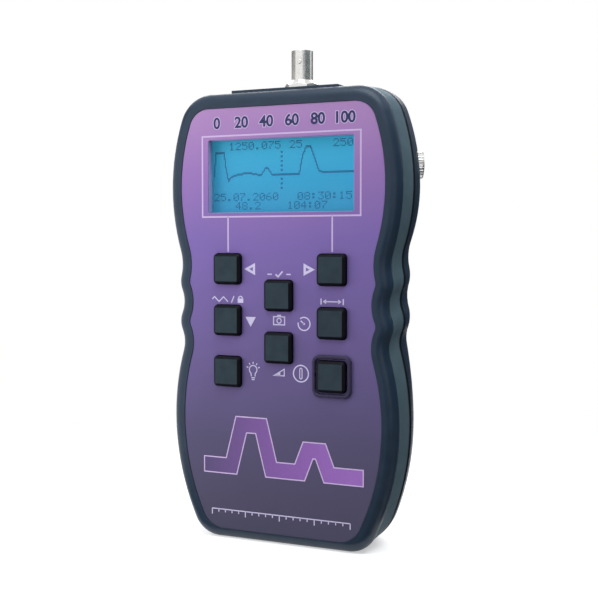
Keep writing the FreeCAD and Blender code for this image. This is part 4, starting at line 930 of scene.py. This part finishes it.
# Cards: name, place, turn, width, height and the darker of their two greys.
ACROSS = (0, math.pi / 2, 0)
BEHIND = (0, math.pi / 2, math.pi / 2)
LYING = (0, 0, math.pi / 2)
DIM = (66, 74, 78)
CARD_MOTTLE = 10
CARDS = (
    ("low_card", (0.4, 0.3, 0.13), ACROSS, 1.2, 0.25, DIM),
    ("back_card", (0, 0.6, 0.13), BEHIND, 0.7, 0.25, DIM),
    ("high_card", (0, 0.6, 0.35), BEHIND, 0.9, 0.19, (146, 152, 156)),
    ("right_card", (0.4, -0.01, 0.33), ACROSS, 0.48, 0.14, (96, 106, 108)),
    ("left_card", (-0.45, 0.39, 0.345), ACROSS, 1.42, 0.18, (160, 152, 146)),
    ("near_card", (0.4, -0.46, 0.35), ACROSS, 0.42, 0.2, (186, 186, 186)),
    ("far_card", (0.05, -0.9, 0.08), BEHIND, 0.8, 0.16, DIM),
    ("front_card", (0.14, -0.46, 0.001), LYING, 0.52, 0.87, DIM),
    ("side_card", (0.26, 0.44, 0.001), LYING, 0.4, 0.92, DIM),
)

# Lamps: name, place, aim, width, level, colour, and whether gloss and metal mirror them.
MIDDLE = (0, 0, 0.1)
UPPER = (0, 0, 0.19)
UPPER_RIGHT = (0.05, 0, 0.19)
NEUTRAL = (1, 1, 1)
COOL = (0.86, 0.96, 1.0)
LAMPS = (
    ("key_light", (-0.28, -0.2, 0.16), MIDDLE, 0.3, 0.95, NEUTRAL, False),
    ("top_light", (0.05, -0.22, 0.5), UPPER, 0.3, 0.8, COOL, True),
    ("side_light", (0.3, -0.02, 0.5), UPPER_RIGHT, 0.2, 1.05, NEUTRAL, False),
    ("back_light", (-0.3, 0.8, 0.5), MIDDLE, 0.8, 0.8, NEUTRAL, True),
)


def seen_share(tree):
    """1 where a surface or the surround is seen directly, mirrored or looked through, else 0."""
    path = tree.nodes.new("ShaderNodeLightPath")
    seen = path.outputs["Is Camera Ray"]
    for name in ("Is Glossy Ray", "Is Transmission Ray"):
        either = tree.nodes.new("ShaderNodeMath")
        either.operation = "MAXIMUM"
        tree.links.new(seen, either.inputs[0])
        tree.links.new(path.outputs[name], either.inputs[1])
        seen = either.outputs[0]
    return seen


def flat_grid(name, size, parts):
    """A square sheet divided into parts each way, as a new object."""
    mesh = bmesh.new()
    bmesh.ops.create_grid(mesh, x_segments=parts, y_segments=parts, size=size / 2)
    data = bpy.data.meshes.new(name)
    mesh.to_mesh(data)
    mesh.free()
    made = bpy.data.objects.new(name, data)
    bpy.context.collection.objects.link(made)
    return made


def floor():
    """A pale floor just under the object that keeps its shadow and fades out to the white surround."""
    made = flat_grid("floor", FLOOR_SIZE, parts=8)
    made.location.z = cad_box[0][2] - FLOOR_GAP
    look = Look("floor_pale", Roughness=0.8, Specular_IOR_Level=0.1)
    look.set("Base Color", look.blend(look.noise(size=40), tone(212, 212, 214), tone(218, 218, 220)))
    look.set("Emission Color", WHITE)
    look.set("Emission Strength", look.between(seen_share(look.tree), 0, FLOOR_GLOW, 0, 1))
    distance = look.add("VectorMath", {"operation": "LENGTH"}, {0: look.place}).outputs["Value"]
    clear = look.add("BsdfTransparent").outputs[0]
    faded = look.add("MixShader", inputs={"Fac": look.between(distance, 0, 1, FADE_BEGIN, FADE_END)})
    look.join(look.shader.outputs[0], faded.inputs[1])
    look.join(clear, faded.inputs[2])
    look.join(faded.outputs[0], look.tree.nodes["Material Output"].inputs["Surface"])
    made.data.materials.append(look.material)


def surround():
    """White where it is seen directly, mirrored or looked through, and a plain level as light."""
    world = bpy.data.worlds.new("surround")
    world.use_nodes = True
    bpy.context.scene.world = world
    tree = world.node_tree
    back = tree.nodes["Background"]
    back.inputs["Color"].default_value = WHITE
    strength = tree.nodes.new("ShaderNodeMapRange")
    strength.inputs["To Min"].default_value = SURROUND_LEVEL
    strength.inputs["To Max"].default_value = 1
    tree.links.new(seen_share(tree), strength.inputs["Value"])
    tree.links.new(strength.outputs[0], back.inputs["Strength"])


def card(name, place, turn, width, height, shade):
    """A card near the object that only shows as a reflection: it gives gloss and metal contrast."""
    made = flat_grid(name, size=1, parts=4)
    made.location = place
    made.scale = (height, width, 1)
    made.rotation_euler = turn
    made.visible_camera = False
    made.visible_diffuse = False
    made.visible_shadow = False
    light = [part + CARD_MOTTLE for part in shade]
    look = Look(name, Roughness=0.9, Specular_IOR_Level=0.0)
    look.set("Base Color", look.blend(look.noise(size=30), tone(*shade), tone(*light)))
    made.data.materials.append(look.material)


def lamp(name, place, aim, width, level, colour, mirrored):
    """A square soft lamp; level 1 lights a surface that faces it just to its written colour."""
    way = Vector(aim) - Vector(place)
    data = bpy.data.lights.new(name, "AREA")
    data.size = width
    data.color = colour
    data.energy = level * math.pi ** 2 * way.length ** 2
    made = bpy.data.objects.new(name, data)
    made.location = place
    made.rotation_euler = way.to_track_quat("-Z", "Y").to_euler()
    made.visible_glossy = mirrored
    bpy.context.collection.objects.link(made)


def camera():
    """The photograph's view: to the right of the front, a little above the middle."""
    data = bpy.data.cameras.new("camera")
    data.lens = LENS
    data.sensor_width = SENSOR
    made = bpy.data.objects.new("camera", data)
    made.location = CAMERA_PLACE
    made.rotation_euler = (math.radians(90 - CAMERA_DROP), 0, math.radians(CAMERA_TURN))
    bpy.context.collection.objects.link(made)
    bpy.context.scene.camera = made


floor()
for row in CARDS:
    card(*row)
surround()
for row in LAMPS:
    lamp(*row)
camera()
bpy.context.scene.view_settings.view_transform = "Standard"
